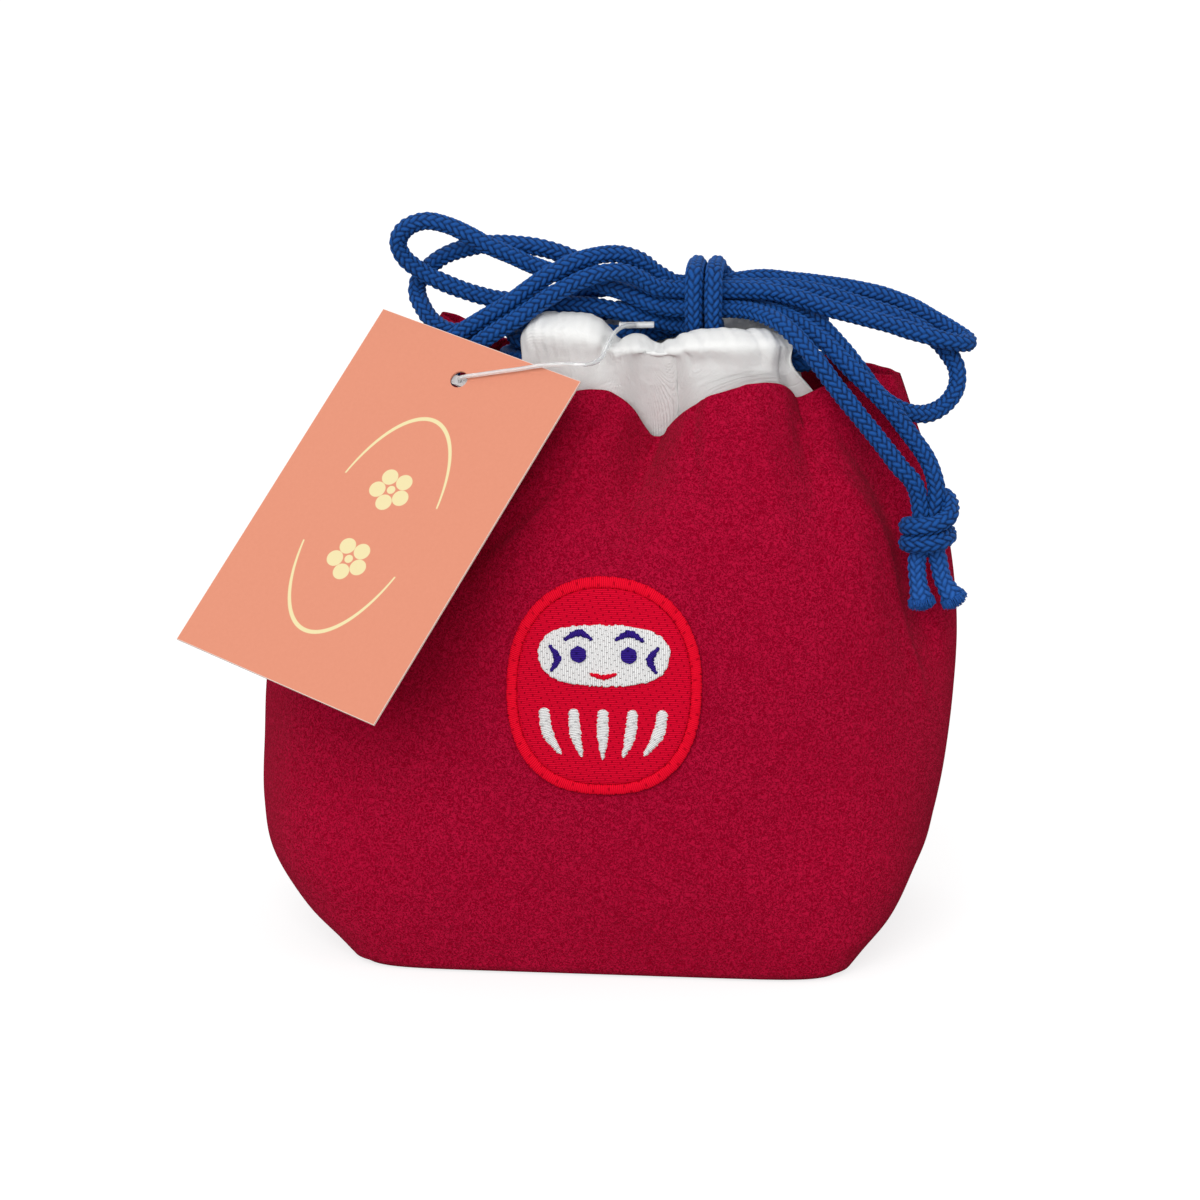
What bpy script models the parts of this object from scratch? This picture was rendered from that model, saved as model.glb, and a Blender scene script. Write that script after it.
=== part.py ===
"""A small drawstring pouch (kinchaku): crepe bag with a boxed base, lining, gathered white
channel bands, two braided cords tied in a bow, an embroidered patch and a hang tag on a pin.

Metres, +Z up, front towards -Y, origin at the centre of the base's underside.
"""

import functools
import math

import bmesh
import bpy
import numpy as np
from mathutils import Matrix, Vector

MM = 0.001

# The cut pouch
CREPE_WALL = 1.0            # crepe with its backing
LINING_WALL = 0.5
BAND_WALL = 0.5             # white channel cloth
LAYER_GAP = 0.3             # clearance between touching layers
LINING_SLACK = 0.5          # how far the lining hangs clear of the crepe
COLUMNS = 48                # mesh columns round the bag

# How the filled pouch stands: height, left x, right x, half depth, squareness of the section.
# The first row is the boxed base.
STATIONS = [
    (0.0, -56.5, 57.5, 43.0, 9.0),
    (5.0, -62.5, 62.0, 44.0, 7.0),
    (11.0, -71.0, 68.0, 45.0, 5.0),
    (21.0, -79.0, 73.5, 46.0, 3.8),
    (32.0, -82.0, 76.2, 46.2, 3.0),
    (45.0, -82.8, 78.6, 45.6, 2.5),
    (58.0, -82.6, 80.2, 44.5, 2.3),
    (72.0, -80.0, 80.7, 42.6, 2.2),
    (89.0, -73.2, 79.2, 39.0, 2.1),
    (101.0, -66.5, 77.2, 35.5, 2.0),
    (110.0, -60.5, 75.0, 32.0, 1.9),
    (120.0, -53.5, 72.0, 27.5, 1.75),
    (128.0, -47.0, 69.0, 24.2, 1.7),
    (135.0, -41.0, 66.5, 21.2, 1.62),
]
RIM_HEIGHT = 135.0          # nominal height of the crepe's top edge
FOLDS_START = 84.0          # the gathers fade out below this height

# Gathers at the mouth: place round the bag (0 right seam, 0.25 back, 0.5 left seam, 0.75 front),
# half width in the same measure, how deep the fold goes in, how far the edge drops there
GATHERS = [
    (0.745, 0.026, 9.0, 13.0),
    (0.862, 0.018, 4.5, 5.0),
    (0.635, 0.018, 2.0, 4.5),
    (0.130, 0.020, 4.5, 6.0),
    (0.250, 0.024, 8.0, 9.0),
    (0.370, 0.020, 4.5, 6.5),
]
# Hollows between each seam and the nearest corner of the front or back panel
HOLLOWS = [0.052, 0.448, 0.552, 0.948]
HOLLOW_WIDTH = 0.024
HOLLOW_DEPTH = 4.5
EAR_RISE_LEFT = 9.5         # the crepe corner at the left seam stands this much higher
EAR_BACK_LEFT = 6.0         # and leans this much to the back

# Channel bands and the cord rings inside them
RING_CENTRE = (11.5, 0.0)
RING_HALF = (36.0, 14.0)
RING_Z = 138.2
RING_OPEN = math.radians(38.0)   # half angle of the gap where a cord leaves the channel
CORD_D = 4.0
CORD_APART = (CORD_D + 0.4) / 2  # each cord's centre from the ring they wind round
TUNNEL = CORD_D / 2 + BAND_WALL / 2 + LAYER_GAP   # cord centre to the band's middle surface
BAND_START = 0.596          # the front band, in the same measure round the bag
BAND_END = 0.884
# Puffs of the front band: place, half width, how far it bulges, top height
FRONT_PUFFS = [(0.672, 0.030, 2.6, 147.6), (0.742, 0.016, 1.6, 143.2), (0.828, 0.024, 2.6, 147.0)]
BACK_PUFFS = [(0.185, 0.024, 2.2, 143.2), (0.250, 0.024, 2.4, 145.0), (0.325, 0.028, 2.6, 145.5)]

# Embroidered patch
PATCH_W = 43.5
PATCH_H = 48.0
# The patch size that the motif's points were chosen for: they grow with PATCH_W and PATCH_H
MOTIF_W = 43.5
MOTIF_H = 48.0
PATCH_CENTRE = (2.0, 68.6)
PATCH_THICK = 1.0
RIM_WIDTH = 2.2
STITCH_RISE = 0.5           # thickness of the raised embroidery on the patch

# Hang tag and its pin
TAG_W = 55.0
TAG_H = 91.0
TAG_THICK = 0.5
TAG_CENTRE = (-48.0, -44.5, 108.4)
TAG_ROLL = math.radians(16.0)
TAG_YAW = math.radians(-16.5)
TAG_TILT = math.radians(40.0)
HOLE_R = 2.1
HOLE_FROM_TOP = 9.7
PIN_D = 1.0
BAR_LENGTH = 8.0
BAR_CENTRE = (6.2, -8.3, 144.9)
PADDLE = (6.0, 2.2, 0.8)

# End knots
KNOT_R = 6.2
KNOT_H = 14.0
RIGHT_KNOT = (73.3, -22.0, 102.2)
LEFT_KNOT = (-47.6, -31.5, 107.5)
TIP_D = 4.4

# Free cord routes in millimetres, chosen along the photographed bow
LEFT_A = [
    (-19.5, -6.1, 140.2), (-22, -3.8, 140.9), (-22.8, -0.6, 141.7), (-20.6, 2.1, 142.7),
    (-16.5, 4, 143.9), (-11, 4.5, 144.9), (-5, 4.5, 145.5), (1, 4.5, 146.3),
    (7, 4.4, 147.4), (13, 4.4, 148.2), (18, 4.4, 148.3), (25, 4.4, 148.3), (31, 4.4, 147.9),
    (37, 2, 147.8), (43, -1.5, 147.3), (46.5, -4.8, 146), (50, -8, 143.6), (53.5, -11, 140.3),
    (57, -13.2, 136.4), (60.5, -14.3, 132), (64, -14.4, 129), (68, -13, 126.8), (72.5, -10.6, 126),
    (76.5, -7.8, 127.6), (79, -5.2, 131), (79, -2.8, 135.2), (76.5, -1.2, 139), (73, 0, 142.2),
    (69, 0, 144.8), (63.5, 0, 147), (56.5, 0.5, 149), (50, 1, 151), (43.5, 1, 152.3),
    (36, 0.4, 152.8), (29, 0, 152.7), (24, 0, 152.7), (19, 0, 152.7), (14.5, -0.2, 153.4),
    (10, -2.2, 156.2), (6.5, -4.8, 159.2), (2, -7.5, 161), (-5, -10.5, 160.5),
    (-12, -12.3, 157.5), (-18, -12.8, 153.7), (-22.5, -12.5, 150.2), (-28.5, -12, 146.5),
    (-34, -12, 143), (-39.5, -13, 138), (-43, -16, 132), (-46, -20.5, 126.5),
    (-48.4, -25.5, 121.5), (-49.6, -29.2, 118.5), (-49.9, -30.6, 115.9),
]
LEFT_B = [
    (-19.5, 6.2, 140.3), (-22.4, 6.2, 141.6), (-23.5, 6.8, 144), (-21.8, 7.6, 146.5),
    (-17, 8.2, 148.5), (-10, 8, 149.8), (-4, 7, 150.6), (2, 5.8, 151.6),
    (8, 4.8, 152.5), (14, 4.4, 152.7), (19, 4.4, 152.7), (25, 4.6, 152.9), (33.5, 6, 154),
    (42.5, 8, 153), (50.5, 9, 152), (57, 9, 151), (63.5, 8, 149.5), (69.5, 6.5, 147.3),
    (75, 4.5, 144.5), (79.3, 1.8, 142.4), (81.4, -1.2, 141.3), (80.8, -4.2, 141.2),
    (77.5, -6.8, 142), (73, -8, 143.3), (68.5, -8, 144.5), (63.5, -8, 146), (57, -8, 147.6),
    (50, -8, 149.4), (43.5, -7, 151.3), (36.5, -5.5, 152.6), (30, -4.4, 152.7),
    (24, -4.4, 152.7), (18, -4.4, 152.7), (14, -4.8, 152.7), (10, -7, 153.6),
    (6.5, -9.2, 156), (2.5, -11.8, 157.6), (-3, -13.6, 157), (-9.5, -14.4, 154.2),
    (-16, -15, 150.2), (-20.5, -15.2, 147), (-26.5, -14.9, 143.2), (-31, -14.6, 139.7),
    (-35, -15.4, 135.6), (-38.5, -17.6, 130), (-41.5, -21.5, 124.8), (-43.8, -26.5, 120.5),
    (-45, -30, 118.4), (-45.4, -31.6, 115.9),
]
RIGHT_A = [
    (43.5, -8.1, 140.2), (45.7, -5.3, 140.9), (46, -1.8, 141.8), (43.9, 1.3, 142.9),
    (40.5, 3.9, 144.4), (37.3, 6.6, 146.1), (34, 8.3, 148), (30.8, 9.3, 149.7),
    (28, 9.5, 151.5), (25.5, 9.2, 153.8),
    (23.7, 7.8, 156.1), (23.7, 4.4, 157.2), (23.7, 0, 157.4), (23.7, -4.4, 157.2),
    (23.7, -7.8, 156), (23.7, -9, 152.7), (23.7, -9, 148.3), (23.7, -7.8, 145),
    (23.7, -4.4, 143.8), (23.7, -0.5, 143.6), (23.2, 2.8, 143.4), (20.8, 5, 143.1),
    (17, 5.5, 142.6), (13.5, 4.6, 142.1), (10, 2.8, 141.5), (6.5, 0.7, 141.2),
    (3, -1.5, 141.4), (-2.5, -3.3, 142.4), (-7, -3.8, 143.3), (-12, -4, 144), (-17, -5.2, 144.8),
    (-23, -6.3, 145), (-28, -6.4, 144.2), (-34, -6.2, 142.4), (-38, -5.4, 142.6),
    (-41.5, -3.8, 144.4), (-43.9, -2, 147.2), (-45.5, 0.2, 150.2), (-45, 0.8, 153.5),
    (-42.5, 0.3, 156.3), (-39, -1, 159), (-34, -2, 161), (-28, -3, 162.2), (-21.5, -3.5, 162.3),
    (-14.5, -2.5, 161), (-8, -1, 158.3), (-3, 0, 155), (1.5, 0.5, 152.3), (6, 0.4, 150.2),
    (10, 0, 149), (14.5, 0, 148.3), (19, 0, 148.3), (25, 0, 148.3), (31, -0.8, 148.3),
    (36.5, -4, 147.8), (42.5, -9.2, 146.5), (47.5, -13.6, 144), (51.5, -16.3, 141),
    (55, -18.2, 137.8), (58.5, -19.4, 134.6), (62, -20, 131.3), (65, -20, 128),
    (67.5, -19.8, 124.8), (70, -19.8, 121.5), (72.3, -20, 118.3), (74, -20.8, 115),
    (75.1, -21.4, 110.3),
]
RIGHT_B = [
    (43.5, 8.1, 140.2), (46.4, 7.6, 141.5), (47.4, 8.2, 144), (45.9, 9.6, 146.4),
    (42.6, 11.2, 147.9), (38.5, 12.6, 148.6), (33, 13.7, 148.9),
    (28, 14, 149.4), (24.5, 13.9, 150.4), (21.5, 13, 151.8),
    (19.5, 11.2, 153.8), (19.2, 8.4, 156), (19.2, 4.4, 157.3), (19.2, 0, 157.4),
    (19.2, -4.4, 157.2), (19.2, -7.8, 156), (19.2, -9, 152.7), (19.2, -9, 148.3),
    (19.2, -7.8, 145), (19.2, -4.4, 143.8), (18.6, -1.8, 143.7), (16.5, -0.5, 143.7),
    (13, -0.8, 144), (8, -3.2, 145.5), (3, -5.2, 147.2), (-2.5, -6, 148.5), (-8, -6, 149),
    (-14.5, -5.8, 149.2), (-21, -5.4, 149.5), (-27, -5.2, 150), (-33, -5.2, 151.5),
    (-39.5, -5.5, 154), (-44, -6, 156.5), (-47.5, -7, 159.7), (-48.5, -8, 163.3),
    (-46.5, -9, 166.5), (-41.8, -10, 168.3), (-36.5, -10, 167.3), (-31.5, -10, 165),
    (-27.5, -9.6, 162.8), (-23, -8.6, 160.7), (-18.5, -7.5, 158.5), (-13, -6.8, 156.5),
    (-7, -6.4, 154.8), (-1, -6, 153.3), (5, -5.8, 151.3), (9.5, -5.2, 149.3), (14, -4.4, 148.3),
    (19, -4.4, 148.3), (25, -4.4, 148.3), (30, -6, 148.4), (34.5, -10, 148.2),
    (39, -14.3, 147), (42.8, -17.3, 144.4), (46, -19.2, 141.2), (49, -20.6, 137.8),
    (52, -21.6, 134), (55, -22.4, 130.5), (58, -23.1, 127), (61, -23.6, 123.5),
    (64, -23.8, 119.8), (67, -23.7, 116), (69.4, -23.2, 113.4), (70.8, -22.7, 110.5),
]


def clear_scene():
    """Remove what the file holds, so that the model stands by itself."""
    for obj in list(bpy.data.objects):
        bpy.data.objects.remove(obj, do_unlink=True)
    for name in ("Collection", "drawstring_pouch", "cutters"):
        old = bpy.data.collections.get(name)
        if old:
            bpy.data.collections.remove(old)


def new_collection(name):
    collection = bpy.data.collections.new(name)
    bpy.context.scene.collection.children.link(collection)
    return collection


def material(name, colour, roughness, metallic=0.0):
    """A plain Principled material; colour is linear RGB."""
    mat = bpy.data.materials.new(name)
    mat.use_nodes = True
    shader = mat.node_tree.nodes["Principled BSDF"]
    shader.inputs["Base Color"].default_value = (*colour, 1.0)
    shader.inputs["Roughness"].default_value = roughness
    shader.inputs["Metallic"].default_value = metallic
    return mat


CREPE_RED = (0.33, 0.004, 0.028)
LINING_GREY = (0.55, 0.58, 0.52)
BAND_WHITE = (0.83, 0.83, 0.81)
CORD_BLUE = (0.017, 0.075, 0.30)
PATCH_RED = (0.60, 0.006, 0.024)
RIM_RED = (0.72, 0.012, 0.022)
THREAD_WHITE = (0.85, 0.85, 0.83)
THREAD_NAVY = (0.030, 0.012, 0.22)
TAG_SALMON = (0.86, 0.33, 0.21)
PIN_CLEAR = (0.80, 0.80, 0.80)


def smoothstep(x):
    t = np.clip(x, 0.0, 1.0)
    return t * t * (3 - 2 * t)


def station(height):
    """Left x, right x, half depth and squareness at a height, by a smooth curve."""
    table = np.array(STATIONS)
    z, values = table[:, 0], table[:, 1:]
    slopes = np.gradient(values, z, axis=0)
    i = int(np.clip(np.searchsorted(z, height) - 1, 0, len(z) - 2))
    span = z[i + 1] - z[i]
    t = np.clip((height - z[i]) / span, 0.0, 1.0)
    h00, h10 = 2 * t**3 - 3 * t**2 + 1, t**3 - 2 * t**2 + t
    return (h00 * values[i] + h10 * span * slopes[i] + (1 - h00) * values[i + 1]
            + (t**3 - t**2) * span * slopes[i + 1])


def section(height, places):
    """Points of the bag's outline at a height, spaced by equal length from seam to seam."""
    left, right, half_depth, power = station(height)
    centre, half_width = (left + right) / 2, (right - left) / 2
    phi = np.linspace(0, 2 * np.pi, 1441)
    radius = (np.abs(np.cos(phi) / half_width)**power
              + np.abs(np.sin(phi) / half_depth)**power)**(-1 / power)
    x, y = radius * np.cos(phi), radius * np.sin(phi)
    length = np.concatenate([[0], np.cumsum(np.hypot(np.diff(x), np.diff(y)))])
    at = np.mod(places, 1.0) * length[-1]
    return np.stack([centre + np.interp(at, length, x), np.interp(at, length, y)], axis=-1)


def bump(places, centre, half_width):
    """A smooth hump of height 1 at a place round the bag."""
    off = np.mod(places - centre + 0.5, 1.0) - 0.5
    return np.exp(-(off / half_width)**2)


def rim_height(places):
    """Height of the crepe's top edge: it drops at each gather and rises at the left seam."""
    height = RIM_HEIGHT + EAR_RISE_LEFT * bump(places, 0.5, 0.07)
    height = height - 2.0 * bump(places, 0.0, 0.05)
    for place, half_width, _, drop in GATHERS:
        height = height - drop * bump(places, place, half_width)
    return height


def wall_ring(level, places, scale=1.0):
    """One ring of the bag's outer face; level is the height before the rim's rise and drop."""
    flat = section(level, places)
    ahead = section(level, places + 0.002)
    behind = section(level, places - 0.002)
    along = ahead - behind
    inward = np.stack([-along[:, 1], along[:, 0]], axis=-1)
    inward /= np.linalg.norm(inward, axis=1, keepdims=True)
    pull = np.zeros(len(places))
    gather = smoothstep((level - FOLDS_START) / (RIM_HEIGHT - FOLDS_START))**1.3
    for place, half_width, depth, _ in GATHERS:
        pull += depth * gather * bump(places, place, half_width * (1.9 - 0.9 * gather))
    hollow = smoothstep((level - 40) / 45) * (1 - 0.55 * smoothstep((level - 108) / 27))
    for place in HOLLOWS:
        pull += HOLLOW_DEPTH * hollow * bump(places, place, HOLLOW_WIDTH)
    flat = flat + inward * pull[:, None]
    flat = flat * scale
    flat[:, 1] += EAR_BACK_LEFT * bump(places, 0.5, 0.05) * smoothstep((level - 96) / 38)
    rise = max(0.0, (level - 90) / (RIM_HEIGHT - 90)) * (rim_height(places) - RIM_HEIGHT)
    return np.column_stack([flat, level + rise])


# Rings of the bag from the middle of the base to the rim: scale, level
RINGS = [(0.5, 0.0), (0.97, 0.0), (1.0, 1.4), (1.0, 5.5), (1.0, 11.0), (1.0, 18.0),
         (1.0, 28.0), (1.0, 42.0), (1.0, 58.0), (1.0, 76.0), (1.0, 92.0), (1.0, 104.0),
         (1.0, 114.0), (1.0, 122.0), (1.0, 129.0), (1.0, 135.0)]
BAND_FOOT = 13              # the ring where the bands and the lining are sewn to the crepe
LINING_RINGS = [0, 1, 3, 5, 7, 9, 11, 12]   # the lining is smoother than the crepe


def bag_grid():
    """Rings of the outer face, from the middle of the base to the rim."""
    places = np.arange(COLUMNS) / COLUMNS
    return np.array([wall_ring(level, places, scale) for scale, level in RINGS])


def make_object(name, mesh, mat, collection, smooth=True):
    mesh.materials.append(mat)
    obj = bpy.data.objects.new(name, mesh)
    collection.objects.link(obj)
    if smooth:
        mesh.shade_smooth()
    return obj


def mesh_from(name, verts, faces):
    mesh = bpy.data.meshes.new(name)
    mesh.from_pydata([tuple(v) for v in np.asarray(verts) * MM], [], faces)
    mesh.update()
    return mesh


def wrapped_faces(rows, columns, first=0):
    """Quads between rings of equal size, closed round the ring."""
    return [(first + r * columns + c, first + r * columns + (c + 1) % columns,
             first + (r + 1) * columns + (c + 1) % columns, first + (r + 1) * columns + c)
            for r in range(rows - 1) for c in range(columns)]


def strip_faces(rows, columns, first=0):
    """Quads between rings that stay open at both ends."""
    return [(first + r * columns + c, first + r * columns + c + 1,
             first + (r + 1) * columns + c + 1, first + (r + 1) * columns + c)
            for r in range(rows - 1) for c in range(columns - 1)]


def solidify(obj, thickness, offset):
    wall = obj.modifiers.new("wall", "SOLIDIFY")
    wall.thickness = thickness * MM
    wall.offset = offset
    wall.use_even_offset = False
    return wall


def make_bag(name, grid, wall, mat, collection):
    """An open-topped bag: an open surface with its wall inside. Also gives its normals."""
    pole = grid[0].mean(axis=0)
    rows, columns = grid.shape[:2]
    verts = np.vstack([[pole], grid.reshape(-1, 3)])
    faces = [(0, 1 + (c + 1) % columns, 1 + c) for c in range(columns)]
    faces += wrapped_faces(rows, columns, 1)
    obj = make_object(name, mesh_from(name, verts, faces), mat, collection)
    solidify(obj, wall, -1.0)
    normals = np.array([v.normal for v in obj.data.vertices])[1:]
    return normals.reshape(rows, columns, 3)


def lining_grid(grid, normals):
    """Rings of the lining: inside the crepe, ending just below the foot of the bands."""
    inner = grid - normals * (CREPE_WALL + LINING_SLACK)
    top = inner[BAND_FOOT - 1] * 0.07 + inner[BAND_FOOT] * 0.93
    return np.array([inner[i] for i in LINING_RINGS] + [top])


def outward_on_ring(angle):
    """Ring point and its outward direction; angle 0 is towards +X."""
    point = np.array([RING_CENTRE[0] + RING_HALF[0] * math.cos(angle),
                      RING_CENTRE[1] + RING_HALF[1] * math.sin(angle)])
    out = np.array([math.cos(angle) / RING_HALF[0], math.sin(angle) / RING_HALF[1]])
    return point, out / np.linalg.norm(out)


def band_profile(place, angle, puffs, foot, fold):
    """Cross-section of a channel band at one place: outer leg, puff over the cords, inner leg."""
    point, out = outward_on_ring(angle)
    bulge, top = 0.0, RING_Z + TUNNEL + CORD_APART * abs(math.cos(angle)) + 0.55
    valley = top
    for puff_place, half_width, puff, puff_top in puffs:
        share = float(bump(np.array([place]), puff_place, half_width)[0])
        bulge += puff * share
        top += max(0.0, puff_top - valley) * share
    wide = TUNNEL + CORD_APART * abs(math.sin(angle))
    low = RING_Z - TUNNEL - CORD_APART * abs(math.cos(angle)) - 0.1
    crown = RING_Z + 0.62 * (top - RING_Z)

    def at(offset, height):
        return (*(point + out * offset), height)

    over_rim = foot[0][-1]
    rim_out = float((np.array(over_rim[:2]) - point) @ out)
    stand = max(wide + 0.1, min(rim_out, wide + 1.5))
    side = at(stand + 0.4 * bulge, max(low + 3.0, over_rim[2] + 1.4))
    side = (side[0] + (over_rim[0] - side[0]) * fold, *side[1:])
    outer = [side,
             at(wide + 0.4 + bulge, crown), at(0.5 * wide + 0.4 * bulge, top - 0.5)]
    inner = [at(-0.5 * wide, top - 0.5), at(-wide - 0.3, crown), at(-wide - 0.3, RING_Z - 1.0),
             at(-wide + 0.1, low)]
    floor = (*foot[1][0][:2], min(foot[1][0][2], low - 0.8))
    return foot[0] + outer + inner + [floor] + foot[1][1:]


def make_band(name, start, end, angles, puffs, grid, normals, mat, collection):
    """One channel band: a folded sheet whose legs are sewn in between crepe and lining."""
    first, last = math.ceil(start * COLUMNS), math.floor(end * COLUMNS)
    rows = []
    steps = 2 * (last - first)
    for k in range(steps + 1):
        column = first + k / 2
        low, share = int(column), column - int(column)
        nxt = (low + 1) % COLUMNS
        fold = float(sum(bump(column / COLUMNS, place, 0.04) for place, _, depth, _ in GATHERS
                         if depth > 5))
        outer_leg = CREPE_WALL + 2 * LAYER_GAP + BAND_WALL / 2 + 1.6 * fold
        inner_leg = outer_leg + BAND_WALL + LAYER_GAP

        def leg(ring, inset):
            here = grid[ring, low % COLUMNS] - normals[ring, low % COLUMNS] * inset
            there = grid[ring, nxt] - normals[ring, nxt] * inset
            return tuple(here * (1 - share) + there * share)

        outer = [leg(ring, outer_leg) for ring in range(BAND_FOOT, len(RINGS))]
        outer.append((*outer[-1][:2], outer[-1][2] + 1.2))
        inner = [leg(ring, inner_leg) for ring in range(len(RINGS) - 1, BAND_FOOT - 1, -1)]
        foot = (outer, inner)
        angle = angles[0] + (angles[1] - angles[0]) * k / steps
        rows.append(band_profile(column / COLUMNS, angle, puffs, foot, fold))
    count = len(rows[0])
    verts = np.array(rows).reshape(-1, 3)
    obj = make_object(name, mesh_from(name, verts, strip_faces(len(rows), count)), mat, collection)
    solidify(obj, BAND_WALL, 0.0)
    return obj


def smooth_route(points, per_span):
    """A centripetal curve through hand-chosen points, read at even steps of each span."""
    p = np.array(points, dtype=float)
    p = np.vstack([2 * p[0] - p[1], p, 2 * p[-1] - p[-2]])
    out = []
    for i in range(1, len(p) - 2):
        q = p[i - 1:i + 3]
        t = np.concatenate([[0], np.cumsum(np.sqrt(np.linalg.norm(np.diff(q, axis=0), axis=1)))])
        for s in np.arange(per_span) / per_span:
            u = t[1] + (t[2] - t[1]) * s
            a = [((t[j + 1] - u) * q[j] + (u - t[j]) * q[j + 1]) / (t[j + 1] - t[j])
                 for j in range(3)]
            b = [((t[j + 2] - u) * a[j] + (u - t[j]) * a[j + 1]) / (t[j + 2] - t[j])
                 for j in range(2)]
            out.append(((t[2] - u) * b[0] + (u - t[1]) * b[1]) / (t[2] - t[1]))
    out.append(p[-2])
    return np.array(out)


def make_tube(name, points, diameter, mat, collection, sides=2):
    """A round cord or filament: a POLY spline with a bevel and filled caps."""
    curve = bpy.data.curves.new(name, "CURVE")
    curve.dimensions = "3D"
    curve.bevel_depth = diameter / 2 * MM
    curve.bevel_resolution = sides
    curve.use_fill_caps = True
    spline = curve.splines.new("POLY")
    spline.points.add(len(points) - 1)
    for point, place in zip(spline.points, points):
        point.co = (*(np.asarray(place) * MM), 1.0)
    curve.materials.append(mat)
    obj = bpy.data.objects.new(name, curve)
    collection.objects.link(obj)
    return obj


def cut_back(points, length):
    """Shorten a route at its start, so that it meets its neighbour with a small gap."""
    points = [np.array(p, dtype=float) for p in points]
    step = points[1] - points[0]
    points[0] = points[0] + step / np.linalg.norm(step) * length
    return points


def ring_point(angle, side):
    """A point of one cord's ring: high where it leaves on its own side, low on the other."""
    point, out = outward_on_ring(angle)
    across = side * CORD_APART * abs(math.sin(angle))
    return np.array([*(point + out * across), RING_Z + side * CORD_APART * math.cos(angle)])


def ring_route(side):
    """A cord inside the channel, open at its own side: -1 is the left cord, 1 the right."""
    middle = math.pi if side < 0 else 0.0
    angles = np.linspace(middle + RING_OPEN, middle + 2 * math.pi - RING_OPEN, 26)
    return [ring_point(a, side) for a in angles]


def free_route(points, side, end):
    """A free cord from the end of its ring, 0 or -1, along its hand-chosen points."""
    start = ring_route(side)[end]
    return cut_back([start] + points, LAYER_GAP)


def mesh_of(obj, collection, name, mat):
    """The evaluated mesh of a curve as a new object, with its caps welded."""
    graph = bpy.context.evaluated_depsgraph_get()
    mesh = bpy.data.meshes.new_from_object(obj.evaluated_get(graph))
    work = bmesh.new()
    work.from_mesh(mesh)
    bmesh.ops.remove_doubles(work, verts=work.verts, dist=1e-6)
    work.to_mesh(mesh)
    work.free()
    mesh.materials.clear()
    made = make_object(name, mesh, mat, collection, smooth=False)
    made.matrix_world = obj.matrix_world
    bpy.data.objects.remove(obj, do_unlink=True)
    return made


def boolean(obj, other, operation):
    change = obj.modifiers.new("boolean", "BOOLEAN")
    change.operation = operation
    change.object = other
    return change


def make_end_knot(name, centre, mat, collection):
    """The stopper knot at a cord's end: a turned barrel with three wound ridges."""
    ridges = 3
    profile = [(0.0, KNOT_H / 2)]
    for i in range(ridges * 4 + 1):
        t = i / (ridges * 4)
        round_end = 1 - 0.34 * abs(2 * t - 1)**3
        radius = KNOT_R * round_end * (0.93 + 0.07 * abs(math.sin(math.pi * ridges * t)))
        profile.append((radius, KNOT_H * (0.5 - t)))
    profile.append((0.0, -KNOT_H / 2))
    verts = [(r, 0, z) for r, z in profile]
    mesh = mesh_from(name, verts, [])
    work = bmesh.new()
    work.from_mesh(mesh)
    work.verts.ensure_lookup_table()
    for a, b in zip(work.verts[:-1], work.verts[1:]):
        work.edges.new((a, b))
    work.to_mesh(mesh)
    work.free()
    obj = make_object(name, mesh, mat, collection)
    obj.location = Vector(centre) * MM
    turn = obj.modifiers.new("turn", "SCREW")
    turn.axis = "Z"
    turn.steps = 16
    turn.render_steps = 16
    turn.use_merge_vertices = True
    turn.merge_threshold = 1e-6
    return obj


def make_tips(name, ends, mat, collection):
    """The two cut cord ends below a knot, each its own short tube."""
    for letter, points in zip("ab", ends):
        route = smooth_route(points, 2)
        make_tube(f"{name}_{letter}", route, TIP_D, mat, collection, 3)


@functools.lru_cache(maxsize=None)
def front_rings():
    """Closely spaced rings over the part of the front that carries the patch."""
    places = np.linspace(0.62, 0.88, 105)
    return np.array([wall_ring(level, places) for level in np.arange(30, 106, 2.0)])


def front_point(x, z, lift):
    """A point on the front of the crepe at x and z, lifted off it by a distance."""
    xyz = front_rings()

    def y_at(px, pz):
        column = [np.interp(px, ring[:, 0], ring[:, 1]) for ring in xyz]
        return float(np.interp(pz, xyz[:, 0, 2], column))

    y = y_at(x, z)
    slope_x = (y_at(x + 1, z) - y_at(x - 1, z)) / 2
    slope_z = (y_at(x, z + 1) - y_at(x, z - 1)) / 2
    out = np.array([slope_x, -1.0, slope_z])
    out /= np.linalg.norm(out)
    return np.array([x, y, z]) + out * lift


def patch_outline(angle, grow=0.0):
    """The patch's egg outline about its centre: wide and a little flat at the bottom."""
    c, s = math.cos(angle), math.sin(angle)
    power = 2.25 if s > 0 else 2.45
    radius = (abs(c / (PATCH_W / 2 + grow))**power + abs(s / (PATCH_H / 2 + grow))**power)**(-1 / power)
    return radius * c, radius * s


def on_patch(u, v, lift):
    """A point given by millimetres right and up from the patch's centre."""
    return front_point(PATCH_CENTRE[0] + u, PATCH_CENTRE[1] + v, lift)


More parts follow.
